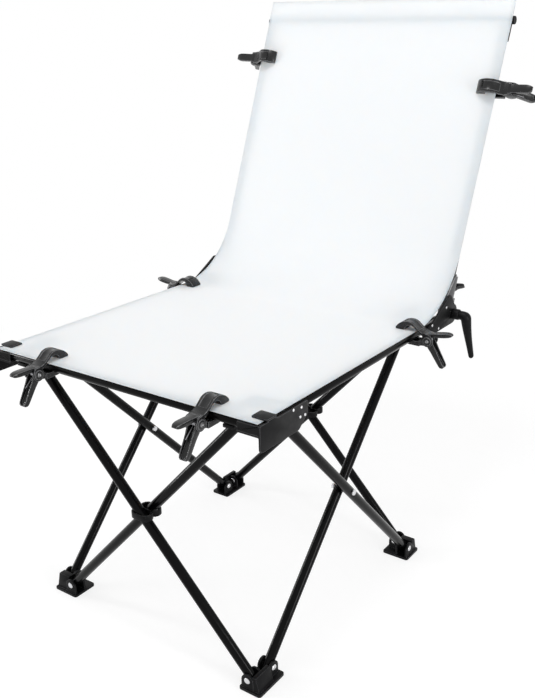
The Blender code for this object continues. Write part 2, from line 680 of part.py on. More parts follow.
def clamp_outlines():
    """The clamp's outlines about its pivot: X towards the rail, Z to the sheet's face."""
    grip = CLAMP_OUT
    pad = CLAMP_DROP + TUBE_R + CLEAR + SHEET_T + CLEAR
    seat = CLAMP_DROP - TUBE_R - CLEAR
    tip = grip + 0.035
    arch = [(tip, pad), (tip + 0.0015, pad + 0.003), (tip - 0.004, pad + 0.0095), (tip - 0.013, pad + 0.015),
            (tip - 0.023, pad + 0.0175), (tip - 0.034, pad + 0.0165), (tip - 0.047, pad + 0.0115),
            (0.004, 0.0215), (-0.010, 0.0185), (-0.010, 0.0095), (0.005, 0.013), (0.015, 0.0175),
            (grip - 0.003, pad + 0.009), (grip + 0.007, pad + 0.010), (grip + 0.014, pad + 0.0075),
            (grip + 0.018, pad)]
    handle = [(-0.004, 0.019), (-0.016, 0.0175), (-0.032, 0.0135), (-0.0445, 0.0115), (-0.0475, 0.0085),
              (-0.046, 0.0045), (-0.034, 0.005), (-0.018, 0.0075), (-0.004, 0.0125)]
    cheek = [*arc((0, 0), 0.0075, 190, 350, 8), (0.011, 0.006), (0.015, 0.0195), (-0.009, 0.014),
             (-0.0085, 0.003)]
    jaw = [(grip + 0.028, seat), (grip + 0.0295, seat - 0.003), (grip + 0.024, seat - 0.0062),
           (grip + 0.008, seat - 0.0092), (0.016, seat - 0.0095), (0.016, seat + 0.0018), (0.023, seat)]
    core = [(grip + 0.022, seat - 0.001), (0.023, seat - 0.0002), (0.012, 0.000),
            *arc((0, 0), 0.007, 20, 160, 7), (-0.008, -0.001), (-0.0345, -0.0475),
            (-0.0335, -0.0515), (-0.0305, -0.0535), (-0.0265, -0.0525),
            (0.002, -0.011), (0.017, seat - 0.0090), (grip + 0.007, seat - 0.0085),
            (grip + 0.020, seat - 0.0055)]
    return arch, handle, cheek, jaw, core


def upper_arm_mesh():
    arch, handle, cheek, _, _ = clamp_outlines()
    half = CLAMP_W / 2
    inside = half - CLAMP_WALL
    grip_half = inside - 0.001
    shapes = [prism(arch, (-half, half), "XZ"), prism(handle, (-grip_half, grip_half), "XZ")]
    for side in (-1, 1):
        shapes.append(prism(cheek, (side * (inside - 0.0002), side * (half - 0.0002)), "XZ"))
    channel = [(-0.0435, 0.002), (-0.0425, 0.008), (-0.018, 0.013), (-0.012, 0.013), (-0.012, 0.002)]
    cuts = [prism(channel, (CLAMP_WALL - grip_half, grip_half - CLAMP_WALL), "XZ")]
    cuts.append(rod((0, -CLAMP_W, 0), (0, CLAMP_W, 0), CLAMP_PIN_D / 2 + CLEAR, 12))
    return combined(shapes, cuts)


def lower_arm_mesh():
    _, _, _, jaw, core = clamp_outlines()
    half = CLAMP_W / 2
    lug = half - CLAMP_WALL - 0.0002 - CLEAR
    slot = COIL_TURNS * COIL_PITCH / 2 + WIRE_D + 0.0006
    groove = [(0.009, -0.0065), (0.009, 0.010), (-0.012, 0.010), (-0.0375, -0.0435), (-0.030, -0.0475),
              (-0.005, -0.0125), (0.003, -0.0085)]
    arm = combined([prism(core, (-lug, lug), "XZ"), prism(jaw, (-half, half), "XZ")],
                   [prism(groove, (-slot, slot), "XZ")])
    pin = rod((0, -half - 0.0006, 0), (0, half + 0.0006, 0), CLAMP_PIN_D / 2, 12)
    return combined([helper(arm), pin])


def spring_points():
    """The torsion spring's centre line: a leg under the upper handle, the curls and the other leg."""
    ends = (Vector((-0.024, 0.0045)), Vector((-0.0185, -0.0225)))
    bends = []
    for end, side in zip(ends, (-1, 1)):
        bends.append(math.atan2(end.y, end.x) % (2 * math.pi) + side * math.acos(COIL_R / end.length))
    sweep = (bends[0] - bends[1]) % (2 * math.pi) + 2 * math.pi * COIL_TURNS
    width = COIL_PITCH * sweep / (2 * math.pi)
    count = round(COIL_POINTS * sweep / (2 * math.pi))
    points = [(ends[0].x, -width / 2, ends[0].y)]
    for step in range(count + 1):
        angle = bends[0] - sweep * step / count
        across = width * (step / count - 0.5)
        points.append((COIL_R * math.cos(angle), across, COIL_R * math.sin(angle)))
    points.append((ends[1].x, width / 2, ends[1].y))
    return [Vector(point) for point in points]


def spring_curve():
    points = spring_points()
    gaps = []
    for first, one in enumerate(points):
        for other in points[first + COIL_POINTS // 2:]:
            gaps.append((one - other).length - WIRE_D)
    print(f"spring: least gap between curls {min(gaps) * 1000:.2f} mm")
    curve = bpy.data.curves.new("spring", "CURVE")
    curve.dimensions = "3D"
    curve.bevel_depth = WIRE_D / 2
    curve.bevel_resolution = 1
    curve.use_fill_caps = True
    spline = curve.splines.new("POLY")
    spline.points.add(len(points) - 1)
    for point, place in zip(spline.points, points):
        point.co = (*place, 1.0)
    return curve


def add_clamps(deck, back):
    """Every clamp stands with its pivot outside and below the tube it grips."""
    upper = upper_arm_mesh()
    lower = lower_arm_mesh()
    spring = spring_curve()
    out, drop = CLAMP_OUT, CLAMP_DROP
    quarter = math.pi / 2
    rows = []
    front_x = (LEFT_FRONT_CLAMP - PIN_HALF, PIN_HALF - RIGHT_FRONT_CLAMP)
    for name, x in zip(("front_left", "front_right"), front_x):
        rows.append((name, deck, (x, -FRONT_RAIL_Y - out, RAIL_HEIGHT - drop), (0, 0, quarter)))
    side_y = PIN_HALF - SIDE_CLAMP
    rows.append(("side_left", deck, (-RAIL_X - out, side_y, RAIL_HEIGHT - drop), (0, 0, 0)))
    rows.append(("side_right", deck, (RAIL_X + out, side_y, RAIL_HEIGHT - drop), (0, 0, math.pi)))
    rows.append(("back_left", back, (-RAIL_X - out, drop, LEFT_BACK_CLAMP), (quarter, 0, 0)))
    rows.append(("back_right", back, (RAIL_X + out, drop, RIGHT_BACK_CLAMP), (-quarter, 0, math.pi)))
    for name, parent, place, turn in rows:
        piece(f"clamp_{name}_lower", lower, "clamp_plastic", parent, place, turn)
        piece(f"clamp_{name}_upper", upper, "clamp_plastic", parent, place, turn)
        piece(f"clamp_{name}_spring", spring, "spring_steel", parent, place, turn)


def centre_on_floor(base):
    """Moves the whole object so that the middle of its box stands over the origin."""
    bpy.context.view_layer.update()
    graph = bpy.context.evaluated_depsgraph_get()
    low = Vector((1e9, 1e9, 1e9))
    high = -low
    for obj in parts.objects:
        if obj.type == "EMPTY":
            continue
        shown = obj.evaluated_get(graph)
        for vertex in shown.to_mesh().vertices:
            place = obj.matrix_world @ vertex.co
            low = Vector(map(min, low, place))
            high = Vector(map(max, high, place))
        shown.to_mesh_clear()
    base.location = (-(low.x + high.x) / 2, -(low.y + high.y) / 2, -low.z)
    print(f"moved by {base.location.x:.6f}, {base.location.y:.6f}, {base.location.z:.6f}")


def main():
    clear_scene()
    add_collections()
    add_materials()
    base = empty("shooting_table_base")
    deck = empty("deck", base)
    back = empty("back_frame", deck, (0, HINGE_Y, HINGE_Z), (-LEAN, 0, 0))
    add_legs(base)
    add_corners(base)
    add_crossings(base)
    add_rails(deck)
    add_deck(deck, back)
    add_sheet(deck, back)
    add_clamps(deck, back)
    centre_on_floor(base)


main()
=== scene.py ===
"""Looks of a folding shooting table: painted tubes, moulded fittings, spring clamps and a sheet."""

import json
import math

import bmesh
import bpy
import numpy as np
from mathutils import Euler, Matrix, Vector

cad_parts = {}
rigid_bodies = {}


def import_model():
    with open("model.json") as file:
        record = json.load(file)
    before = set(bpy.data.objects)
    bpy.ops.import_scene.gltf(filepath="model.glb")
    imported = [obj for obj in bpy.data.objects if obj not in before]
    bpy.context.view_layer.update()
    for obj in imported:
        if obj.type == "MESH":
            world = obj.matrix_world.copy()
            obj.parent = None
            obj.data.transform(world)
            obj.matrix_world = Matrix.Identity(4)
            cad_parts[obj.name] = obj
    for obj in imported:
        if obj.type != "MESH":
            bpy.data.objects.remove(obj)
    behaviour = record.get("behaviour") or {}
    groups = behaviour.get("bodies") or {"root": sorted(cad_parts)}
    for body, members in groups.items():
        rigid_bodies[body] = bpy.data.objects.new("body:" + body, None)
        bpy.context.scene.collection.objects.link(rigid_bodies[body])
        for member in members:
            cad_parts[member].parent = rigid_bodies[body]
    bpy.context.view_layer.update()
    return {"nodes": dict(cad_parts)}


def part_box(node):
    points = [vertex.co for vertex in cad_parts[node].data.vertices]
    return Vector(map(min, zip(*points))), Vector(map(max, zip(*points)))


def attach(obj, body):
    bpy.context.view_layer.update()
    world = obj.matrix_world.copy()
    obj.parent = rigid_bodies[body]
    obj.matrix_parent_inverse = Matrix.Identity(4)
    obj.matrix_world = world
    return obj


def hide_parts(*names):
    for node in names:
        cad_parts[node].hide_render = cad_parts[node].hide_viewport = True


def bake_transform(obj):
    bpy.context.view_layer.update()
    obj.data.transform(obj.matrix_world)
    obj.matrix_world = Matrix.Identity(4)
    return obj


for old in list(bpy.data.objects):
    bpy.data.objects.remove(old)
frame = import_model()
nodes = frame["nodes"]

# The part's sizes in metres, in a frame centred on the base
TUBE_R, LEG_R, CLEAR = 0.008, 0.0095, 0.0003
RAIL_X, RAIL_HEIGHT, FRONT_RAIL_Y, SIDE_RAIL_END = 0.295, 0.540, 0.311, 0.300
PIN_HALF, OFFSET, CLEVIS = 0.240, 0.011, 0.014
FOOT_PIN_Z, TOP_PIN_Z = 0.022, 0.532
PLANES = (0.270, 0.256, 0.270, 0.256)
SIDES = ("front", "right", "rear", "left")
CORNERS = ("front_right", "rear_right", "rear_left", "front_left")
SIGNS = {"right": 1, "left": -1}
LEAN = math.radians(22.2)
HINGE_Y, HINGE_Z = 0.332, 0.547
UPRIGHT_X, UPRIGHT_START, BAR_REACH = 0.2875, 0.0343, 0.597
ELBOW_ARM, ELBOW_DROP, ELBOW_BULGE = 0.022, 0.042, 0.0025
SKIRT_X, PLATE_T, BRACKET_T, EAR_INSET = 0.3033, 0.0035, 0.005, 0.005
KNOB_UP, KNOB_TURN = 0.055, math.radians(60)
SHEET_W, SHEET_T, SHEET_LOW, SWEEP_R = 0.600, 0.0012, 0.5483, 0.190
SHEET_FRONT, SHEET_TOP_REACH = -0.319, 0.640
CLAMP_W, CLAMP_WALL, CLAMP_OUT, CLAMP_DROP = 0.026, 0.0035, 0.032, 0.005
CLAMP_PIN_R, WIRE_R, COIL_R, COIL_PITCH, COIL_TURNS = 0.0025, 0.0008, 0.0042, 0.0021, 4

# Sizes that only the look has: rounded edges, rivets, the cut in the skirts, clamps and the sag
EDGES = {"foot": 0.0009, "hub": 0.0007, "coupler": 0.0008, "corner_plate": 0.0006,
         "hinge_bracket": 0.0007, "socket": 0.0006, "knob": 0.0008, "clamp": 0.0006}
TINY, CUT_MERGE, ARM_MERGE, ARM_ANGLE = 1e-6, 0.0001, 0.0002, 42.0
FOOT_HEAD_R, HUB_HEAD_R, PIN_HEAD_T = 0.0062, 0.005, 0.0018
RIVET_R, RIVET_T, RIVET_ROOT = 0.0026, 0.001, 0.0003
PLATE_RIVETS = ((-0.236, 0.5430), (-0.214, 0.5400), (-0.2175, 0.5245), (-0.204, 0.5235))
BRACKET_RIVETS = ((0.240, 0.547), (0.269, 0.533), (0.301, 0.568))
SKIRT_CUT_Y, SKIRT_CUT_LENGTH, SKIRT_CUT_Z = -0.2783, 0.1, (0.5460, 0.5490)
SKIRT_CUT_INSIDE, SKIRT_CUT_OUTSIDE = 0.0005, 0.0015
GRIP_HALF, GRIP_STEPS, KEEP_REACH, KEEP_SIDE = 0.0082, 12, 0.12, 0.03
PANEL_HALF, PANEL_SINK, PANEL_TALL, CROWN = 0.0082, 0.0010, 0.012, slice(12, 32)
CHANNEL_HALF, CHEEK_LAP = 0.0058, 0.0002
SHEET_SAG, BACK_BOW = 0.0030, 0.0025
SAG_RISE, SAG_END, SAG_FALL, SAG_FADE = 0.45, 1.12, 0.5, 0.4
BOW_START, BOW_RISE, BOW_END, BOW_FALL = 0.5, 0.9, 0.84, 0.45
TABLE_STEPS, SWEEP_STEPS, BACK_STEPS, SHEET_COLUMNS = 44, 40, 44, 60
SWEEP_BLEND_START, RIM_SHARE, SHEET_SMOOTH = 0.014, 0.35, 60.0

# How finely the finishes vary, per metre, and how deep their grain is
CLOUD_SCALE, WEAR_AND_HIGHLIGHT_SCALE, PATCH_SCALE = 26.0, 140.0, 70.0
NOISE_LOW, NOISE_HIGH, GRAIN_DEPTH = 0.3, 0.7, 0.0002

# The camera in the photograph's pixels, and the levels of the stage
YAW, PITCH, ROLL = (math.radians(a) for a in (-34.23, 22.91, -0.37))
CAMERA_PLACE, SENSOR = (1.0145, -1.2408, 1.0951), 36.0
FOCAL, CENTRE_X, CENTRE_Y, IMAGE_HEIGHT = 867.8, 38.7, 41.7, 698.0
WORLD_LIGHT, FLOOR_HALF, FLOOR_Z = 0.56, 9, -0.0005
FLOOR_GREY, FLOOR_SHADE, FLOOR_GLOW = 0.8, 0.32, 0.76
SHADE_NEAR, SHADE_FAR = 0.75, 1.9

rail_low, rail_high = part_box("rail_front")
SHIFT = Matrix.Translation((0, (rail_low.y + rail_high.y) / 2 + FRONT_RAIL_Y, 0))
HINGE = SHIFT @ Matrix.Translation((0, HINGE_Y, HINGE_Z))
BACK = HINGE @ Matrix.Rotation(-LEAN, 4, "X")


# Materials

def links(material):
    material.use_nodes = True
    tree = material.node_tree
    return tree, tree.nodes["Principled BSDF"]


def noise(tree, source, scale, detail, stretch=None):
    node = tree.nodes.new("ShaderNodeTexNoise")
    node.inputs["Scale"].default_value = scale
    node.inputs["Detail"].default_value = detail
    if stretch:
        mapping = tree.nodes.new("ShaderNodeMapping")
        mapping.inputs["Scale"].default_value = stretch
        tree.links.new(source, mapping.inputs["Vector"])
        source = mapping.outputs["Vector"]
    tree.links.new(source, node.inputs["Vector"])
    return node.outputs["Fac"]


def spread(tree, factor, low, high):
    """A noise's usual range spread from low to high."""
    node = tree.nodes.new("ShaderNodeMapRange")
    node.inputs["From Min"].default_value = NOISE_LOW
    node.inputs["From Max"].default_value = NOISE_HIGH
    node.inputs["To Min"].default_value = low
    node.inputs["To Max"].default_value = high
    tree.links.new(factor, node.inputs["Value"])
    return node.outputs["Result"]


def blended(tree, factor, first, second):
    node = tree.nodes.new("ShaderNodeMix")
    node.data_type = "RGBA"
    tree.links.new(factor, node.inputs["Factor"])
    for socket, colour in ((node.inputs["A"], first), (node.inputs["B"], second)):
        if isinstance(colour, tuple):
            socket.default_value = (*colour, 1.0)
        else:
            tree.links.new(colour, socket)
    return node.outputs["Result"]


def bumped(tree, shader, height, strength):
    node = tree.nodes.new("ShaderNodeBump")
    node.inputs["Strength"].default_value = strength
    node.inputs["Distance"].default_value = GRAIN_DEPTH
    tree.links.new(height, node.inputs["Height"])
    tree.links.new(node.outputs["Normal"], shader.inputs["Normal"])


def surface(name, dark, light, rough, grain, depth, metallic=0.0, specular=0.5, wear_and_highlight=None, lines=None):
    """A finish with cloudy colour and roughness, a fine grain in relief, and paler edges that are partly
    wear and partly painted highlight.

    lines draws the roughness out along a tube, and the edge colour given is that of the rounded edges:
    worn paint with a painted highlight on it.
    """
    material = bpy.data.materials.new(name)
    tree, shader = links(material)
    place = tree.nodes.new("ShaderNodeTexCoord")
    spot = place.outputs["Object"]
    cloud = noise(tree, spot, CLOUD_SCALE, 4.0)
    colour = blended(tree, spread(tree, cloud, 0.0, 1.0), dark, light)
    # Rounded edges are mixed towards a paler colour, which is partly wear and partly a painted
    # highlight.
    if wear_and_highlight:
        edge = tree.nodes.new("ShaderNodeAttribute")
        edge.attribute_name = "edge"
        wear_and_highlight_mask = tree.nodes.new("ShaderNodeMath")
        wear_and_highlight_mask.operation = "MULTIPLY"
        tree.links.new(edge.outputs["Fac"], wear_and_highlight_mask.inputs[0])
        uneven = noise(tree, spot, WEAR_AND_HIGHLIGHT_SCALE, 5.0)
        tree.links.new(spread(tree, uneven, 0.35, 1.0), wear_and_highlight_mask.inputs[1])
        colour = blended(tree, wear_and_highlight_mask.outputs["Value"], colour, wear_and_highlight)
    tree.links.new(colour, shader.inputs["Base Color"])
    if lines:
        patch = noise(tree, place.outputs["UV"], 1.0, 4.0, lines)
    else:
        patch = noise(tree, spot, PATCH_SCALE, 5.0)
    tree.links.new(spread(tree, patch, *rough), shader.inputs["Roughness"])
    shader.inputs["Metallic"].default_value = metallic
    shader.inputs["Specular IOR Level"].default_value = specular
    bumped(tree, shader, noise(tree, spot, grain, 2.0), depth)
    return material


def sheet_surface():
    material = bpy.data.materials.new("translucent_pvc")
    tree, shader = links(material)
    spot = tree.nodes.new("ShaderNodeTexCoord").outputs["Object"]
    cloud = spread(tree, noise(tree, spot, 5.0, 3.0), 0.0, 1.0)
    colour = blended(tree, cloud, (0.925, 0.935, 0.95), (0.94, 0.948, 0.96))
    tree.links.new(colour, shader.inputs["Base Color"])
    rough = spread(tree, noise(tree, spot, 40.0, 5.0), 0.42, 0.54)
    tree.links.new(rough, shader.inputs["Roughness"])
    shader.inputs["Specular IOR Level"].default_value = 0.3
    shader.inputs["Subsurface Weight"].default_value = 1.0
    shader.inputs["Subsurface Radius"].default_value = (1.2, 1.0, 0.88)
    shader.inputs["Subsurface Scale"].default_value = 0.004
    bumped(tree, shader, noise(tree, spot, 1400.0, 2.0), 0.08)
    return material


# The paler edge colours below are partly wear and partly painted highlight along the rounded edges.
TUBE = surface("black_paint", (0.0012, 0.0012, 0.0014), (0.0024, 0.0024, 0.0027),
               rough=(0.13, 0.21), grain=1100.0, depth=0.04, specular=0.09, lines=(60.0, 5.0, 1.0))
PLATE = surface("black_plate_paint", (0.0055, 0.0055, 0.006), (0.0085, 0.0085, 0.009),
                rough=(0.34, 0.48), grain=900.0, depth=0.14, specular=0.1, wear_and_highlight=(0.10, 0.10, 0.105))
# The socket's grey is paler than the other paints, and is partly a painted highlight along its side.
SATIN = surface("satin_grey_paint_and_sheen", (0.045, 0.045, 0.047), (0.07, 0.07, 0.073),
                rough=(0.24, 0.36), grain=900.0, depth=0.08, wear_and_highlight=(0.24, 0.24, 0.245))
MOULDING = surface("black_nylon", (0.004, 0.004, 0.0045), (0.0065, 0.0065, 0.007),
                   rough=(0.34, 0.48), grain=1500.0, depth=0.16, specular=0.11,
                   wear_and_highlight=(0.085, 0.085, 0.09))
CLAMP = surface("clamp_nylon", (0.0055, 0.0056, 0.006), (0.010, 0.0102, 0.011),
                rough=(0.2, 0.34), grain=1700.0, depth=0.1, specular=0.34,
                wear_and_highlight=(0.19, 0.192, 0.198))
ZINC = surface("zinc_plate", (0.62, 0.62, 0.64), (0.78, 0.78, 0.79),
               rough=(0.2, 0.36), grain=700.0, depth=0.06, metallic=1.0)
STEEL = surface("worn_steel", (0.20, 0.20, 0.205), (0.34, 0.34, 0.345),
                rough=(0.2, 0.34), grain=700.0, depth=0.06, metallic=1.0)
SPRING = surface("spring_wire", (0.38, 0.38, 0.4), (0.52, 0.52, 0.54),
                 rough=(0.2, 0.34), grain=900.0, depth=0.05, metallic=1.0)
SHEET = sheet_surface()


# Shapes

def mesh_of(verts, faces, uvs=None):
    mesh = bpy.data.meshes.new("shape")
    mesh.from_pydata(verts, [], faces)
    if uvs is not None:
        layer = mesh.uv_layers.new(name="UVMap")
        for loop in mesh.loops:
            layer.data[loop.index].uv = uvs[loop.vertex_index]
    mesh.update()
    return mesh


def smooth(mesh, degrees=32.0):
    mesh.shade_smooth()
    mesh.set_sharp_from_angle(angle=math.radians(degrees))


def turned(start, end, profile, sides=48):
    """A turned skin from start towards end: profile lists (distance, radius), radius 0 being a point."""
    start, end = Vector(start), Vector(end)
    axis = (end - start).normalized()
    across = axis.orthogonal().normalized()
    up = axis.cross(across)
    verts, uvs, rings = [], [], []
    for distance, radius in profile:
        centre = start + axis * distance
        ring = []
        for k in range(sides if radius > 0 else 1):
            angle = 2 * math.pi * k / sides
            ring.append(len(verts))
            verts.append(centre + (across * math.cos(angle) + up * math.sin(angle)) * radius)
            uvs.append((k / sides, distance))
        rings.append(ring)
    faces = []
    for one, two in zip(rings, rings[1:]):
        for k in range(sides):
            a, b = one[k % len(one)], one[(k + 1) % len(one)]
            c, d = two[(k + 1) % len(two)], two[k % len(two)]
            faces.append([v for v, w in zip((a, b, c, d), (b, c, d, a)) if v != w])
    if len(rings[0]) > 1:
        faces.append(rings[0][::-1])
    if len(rings[-1]) > 1:
        faces.append(rings[-1])
    return mesh_of(verts, faces, uvs)


def swept(points, radii, sides, flat=1.0):
    """A skin along a path with a radius at each point; flat narrows the section across the bend."""
    points = [Vector(p) for p in points]
    last = len(points) - 1
    tangents = []
    for i in range(last + 1):
        tangents.append((points[min(i + 1, last)] - points[max(i - 1, 0)]).normalized())
    normal = tangents[0].orthogonal().normalized()
    verts, uvs, length = [], [], 0.0
    for i, point in enumerate(points):
        if i:
            length += (point - points[i - 1]).length
            normal = (tangents[i - 1].rotation_difference(tangents[i]) @ normal).normalized()
        other = tangents[i].cross(normal)
        for k in range(sides):
            angle = 2 * math.pi * k / sides
            out = normal * math.cos(angle) + other * math.sin(angle) * flat
            verts.append(point + out * radii[i])
            uvs.append((k / sides, length))
    faces = []
    for i in range(last):
        for k in range(sides):
            m = (k + 1) % sides
            faces.append([i * sides + k, i * sides + m, (i + 1) * sides + m, (i + 1) * sides + k])
    faces.append(list(range(sides))[::-1])
    faces.append(list(range(last * sides, (last + 1) * sides)))
    return mesh_of(verts, faces, uvs)


def joined(meshes):
    bm = bmesh.new()
    for mesh in meshes:
        bm.from_mesh(mesh)
        bpy.data.meshes.remove(mesh)
    mesh = bpy.data.meshes.new("shape")
    bm.to_mesh(mesh)
    bm.free()
    return mesh


def helper(mesh):
    obj = bpy.data.objects.new("helper", mesh)
    bpy.context.scene.collection.objects.link(obj)
    return obj


def applied(obj):
    """The mesh of an object with its modifiers applied."""
    graph = bpy.context.evaluated_depsgraph_get()
    return bpy.data.meshes.new_from_object(obj.evaluated_get(graph))


def combined(joins, cuts=(), keeps=()):
    """One mesh from those to join, less those to cut away, and only what lies within each of keeps."""
    base = helper(joins[0])
    others = []
    for operation, meshes in (("UNION", joins[1:]), ("INTERSECT", keeps), ("DIFFERENCE", cuts)):
        for mesh in meshes:
            other = helper(mesh)
            others.append(other)
            modifier = base.modifiers.new("combine", "BOOLEAN")
            modifier.operation = operation
            modifier.solver = "EXACT"
            modifier.object = other
    mesh = applied(base)
    for obj in [base, *others]:
        bpy.data.objects.remove(obj)
    return mesh


AXES = {
    "XY": Matrix(((1, 0, 0), (0, 1, 0), (0, 0, 1))).to_4x4(),
    "YZ": Matrix(((0, 0, 1), (1, 0, 0), (0, 1, 0))).to_4x4(),
    "XZ": Matrix(((1, 0, 0), (0, 0, -1), (0, 1, 0))).to_4x4(),
}


def slab(outline, span, plane):
    """An outline in a plane, pushed along the third axis."""
    low, high = sorted(span)
    curve = bpy.data.curves.new("outline", "CURVE")
    curve.dimensions = "2D"
    curve.fill_mode = "BOTH"
    curve.extrude = (high - low) / 2
    spline = curve.splines.new("POLY")
    spline.points.add(len(outline) - 1)
    for point, (first, second) in zip(spline.points, outline):
        point.co = (first, second, 0.0, 1.0)
    spline.use_cyclic_u = True
    source = bpy.data.objects.new("outline", curve)
    mesh = bpy.data.meshes.new_from_object(source)
    bpy.data.objects.remove(source)
    bpy.data.curves.remove(curve)
    bm = bmesh.new()
    bm.from_mesh(mesh)
    bmesh.ops.remove_doubles(bm, verts=bm.verts, dist=TINY)
    middle = (low + high) / 2
    push = (0, 0, -middle if plane == "XZ" else middle)
    bmesh.ops.translate(bm, vec=push, verts=bm.verts)
    bmesh.ops.transform(bm, matrix=AXES[plane], verts=bm.verts)
    bmesh.ops.recalc_face_normals(bm, faces=bm.faces)
    bm.to_mesh(mesh)
    bm.free()
    return mesh


def arc(centre, radius, start, end, count):
    angles = [math.radians(start + (end - start) * step / count) for step in range(count + 1)]
    return [(centre[0] + radius * math.cos(a), centre[1] + radius * math.sin(a)) for a in angles]


def rounded(outline, steps=4, pull=0.42):
    """A smooth closed line through the outline's points."""
    points = [Vector(p) for p in outline]
    count = len(points)
    found = []
    for i in range(count):
        before, here, after, later = (points[(i + k) % count] for k in (-1, 0, 1, 2))
        first, last = (after - before) * pull, (later - here) * pull
        gap = (after - here).length
        first *= min(1.0, gap / max(first.length, 1e-9))
        last *= min(1.0, gap / max(last.length, 1e-9))
        for step in range(steps):
            t = step / steps
            a, b = 2 * t ** 3 - 3 * t ** 2 + 1, t ** 3 - 2 * t ** 2 + t
            c, d = -2 * t ** 3 + 3 * t ** 2, t ** 3 - t ** 2
            found.append(tuple(here * a + first * b + after * c + last * d))
    return found


def curved(points, steps=6):
    """A smooth open line through points, each a place with a radius."""
    rows = [np.array(p) for p in points]
    rows = [2 * rows[0] - rows[1], *rows, 2 * rows[-1] - rows[-2]]
    found = []
    for a, b, c, d in zip(rows, rows[1:], rows[2:], rows[3:]):
        for step in range(steps):
            t = step / steps
            found.append(0.5 * (2 * b + (c - a) * t + (2 * a - 5 * b + 4 * c - d) * t ** 2
                                + (3 * b - a - 3 * c + d) * t ** 3))
    found.append(rows[-2])
    return [Vector(row[:3]) for row in found], [max(float(row[3]), 0.0002) for row in found]


def ease(t):
    t = min(max(t, 0.0), 1.0)
    return t * t * (3 - 2 * t)


def eased(source, width, merge=TINY, degrees=38.0):
    """A copy of a mesh with its corners broken by a small rounding, which the attribute edge marks."""
    bm = bmesh.new()
    bm.from_mesh(source)
    bmesh.ops.remove_doubles(bm, verts=bm.verts, dist=merge)
    bmesh.ops.dissolve_degenerate(bm, edges=bm.edges, dist=merge)
    bmesh.ops.dissolve_limit(bm, angle_limit=math.radians(1.0), verts=bm.verts, edges=bm.edges)
    mesh = bpy.data.meshes.new("shape")
    bm.to_mesh(mesh)
    bm.free()
    for _ in ("face", "edge"):
        mesh.materials.append(None)
    obj = helper(mesh)
    bevel = obj.modifiers.new("ease", "BEVEL")
    bevel.limit_method = "ANGLE"
    bevel.angle_limit = math.radians(degrees)
    bevel.width = width
    bevel.segments = 2
    bevel.use_clamp_overlap = merge < width / 10
    bevel.material = 1
    done = applied(obj)
    bpy.data.objects.remove(obj)
    bm = bmesh.new()
    bm.from_mesh(done)
    bmesh.ops.dissolve_degenerate(bm, edges=bm.edges, dist=2 * TINY)
    bm.to_mesh(done)
    bm.free()
    marks = [float(face.material_index) for face in done.polygons]
    done.attributes.new("edge", "FLOAT", "FACE").data.foreach_set("value", marks)
    done.polygons.foreach_set("material_index", [0] * len(marks))
    return done


def add(name, mesh, material, body, replaced=(), matrix=None):
    """A piece of the look on its body; one that bends between two bodies is given none here."""
    mesh.materials.clear()
    mesh.materials.append(material)
    smooth(mesh)
    mesh.name = name
    obj = bpy.data.objects.new(name, mesh)
    bpy.context.scene.collection.objects.link(obj)
    if matrix is not None:
        obj.matrix_world = matrix
    if body:
        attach(obj, body)
    if replaced:
        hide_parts(*replaced)
    return obj


# Tubes

def side_place(side, along, out, height):
    """A place on one side of the base, the front being side 0 and the others following round."""
    x, y = along, -out
    for _ in range(side):
        x, y = -y, x
    return Vector((x, y, height))


def dome_ends(length, radius, steps=6):
    turns = [math.pi / 2 * step / steps for step in range(steps + 1)]
    first = [(radius - radius * math.cos(a), radius * math.sin(a)) for a in turns]
    return first + [(length - distance, r) for distance, r in reversed(first)]


def plug_ends(length, radius):
    first = [(0.0006, 0.0), (0.0006, radius - 0.0022), (0.0, radius - 0.0018), (0.0, radius - 0.0009),
             (0.0003, radius - 0.0003), (0.001, radius)]
    return first + [(length - distance, r) for distance, r in reversed(first)]


def legs():
    for side, side_name in enumerate(SIDES):
        for which, sign in (("outer", 1), ("inner", -1)):
            out = PLANES[side] + sign * OFFSET
            low = side_place(side, sign * PIN_HALF, out, FOOT_PIN_Z)
            high = side_place(side, -sign * PIN_HALF, out, TOP_PIN_Z)
            along = (high - low).normalized() * LEG_R
            profile = dome_ends((high - low).length + 2 * LEG_R, LEG_R)
            node = f"leg_{side_name}_{which}"
            mesh = turned(low - along, high + along, profile)
            add(node + ".tube", mesh, TUBE, node, [node], SHIFT)


def straight(node, start, end, body, matrix):
    length = (Vector(end) - Vector(start)).length
    mesh = turned(start, end, plug_ends(length, TUBE_R))
    add(node + ".tube", mesh, TUBE, body, [node], matrix)


def elbow(sign, end):
    """A moulded corner: an arm in line with the crossbar and a stem that bulges along it."""
    x = sign * UPRIGHT_X
    arm = turned((x - sign * ELBOW_ARM, 0, BAR_REACH), (end * sign, 0, BAR_REACH),
                 plug_ends(ELBOW_ARM + end - UPRIGHT_X, TUBE_R))
    deep, tall = TUBE_R - CLEAR, ELBOW_DROP + 0.002
    stem = turned((0, 0, 0), (0, 0, 1), [(0.0, 0.0), (0.0, deep - 0.001), (0.0007, deep - 0.0002),
                                         (0.0014, deep), (tall, deep), (tall, 0.0)])
    stem.transform(Matrix.Translation((x, 0, BAR_REACH - ELBOW_DROP))
                   @ Matrix.Diagonal(((TUBE_R + ELBOW_BULGE) / deep, 1, 1, 1)))
    return combined([arm, stem])


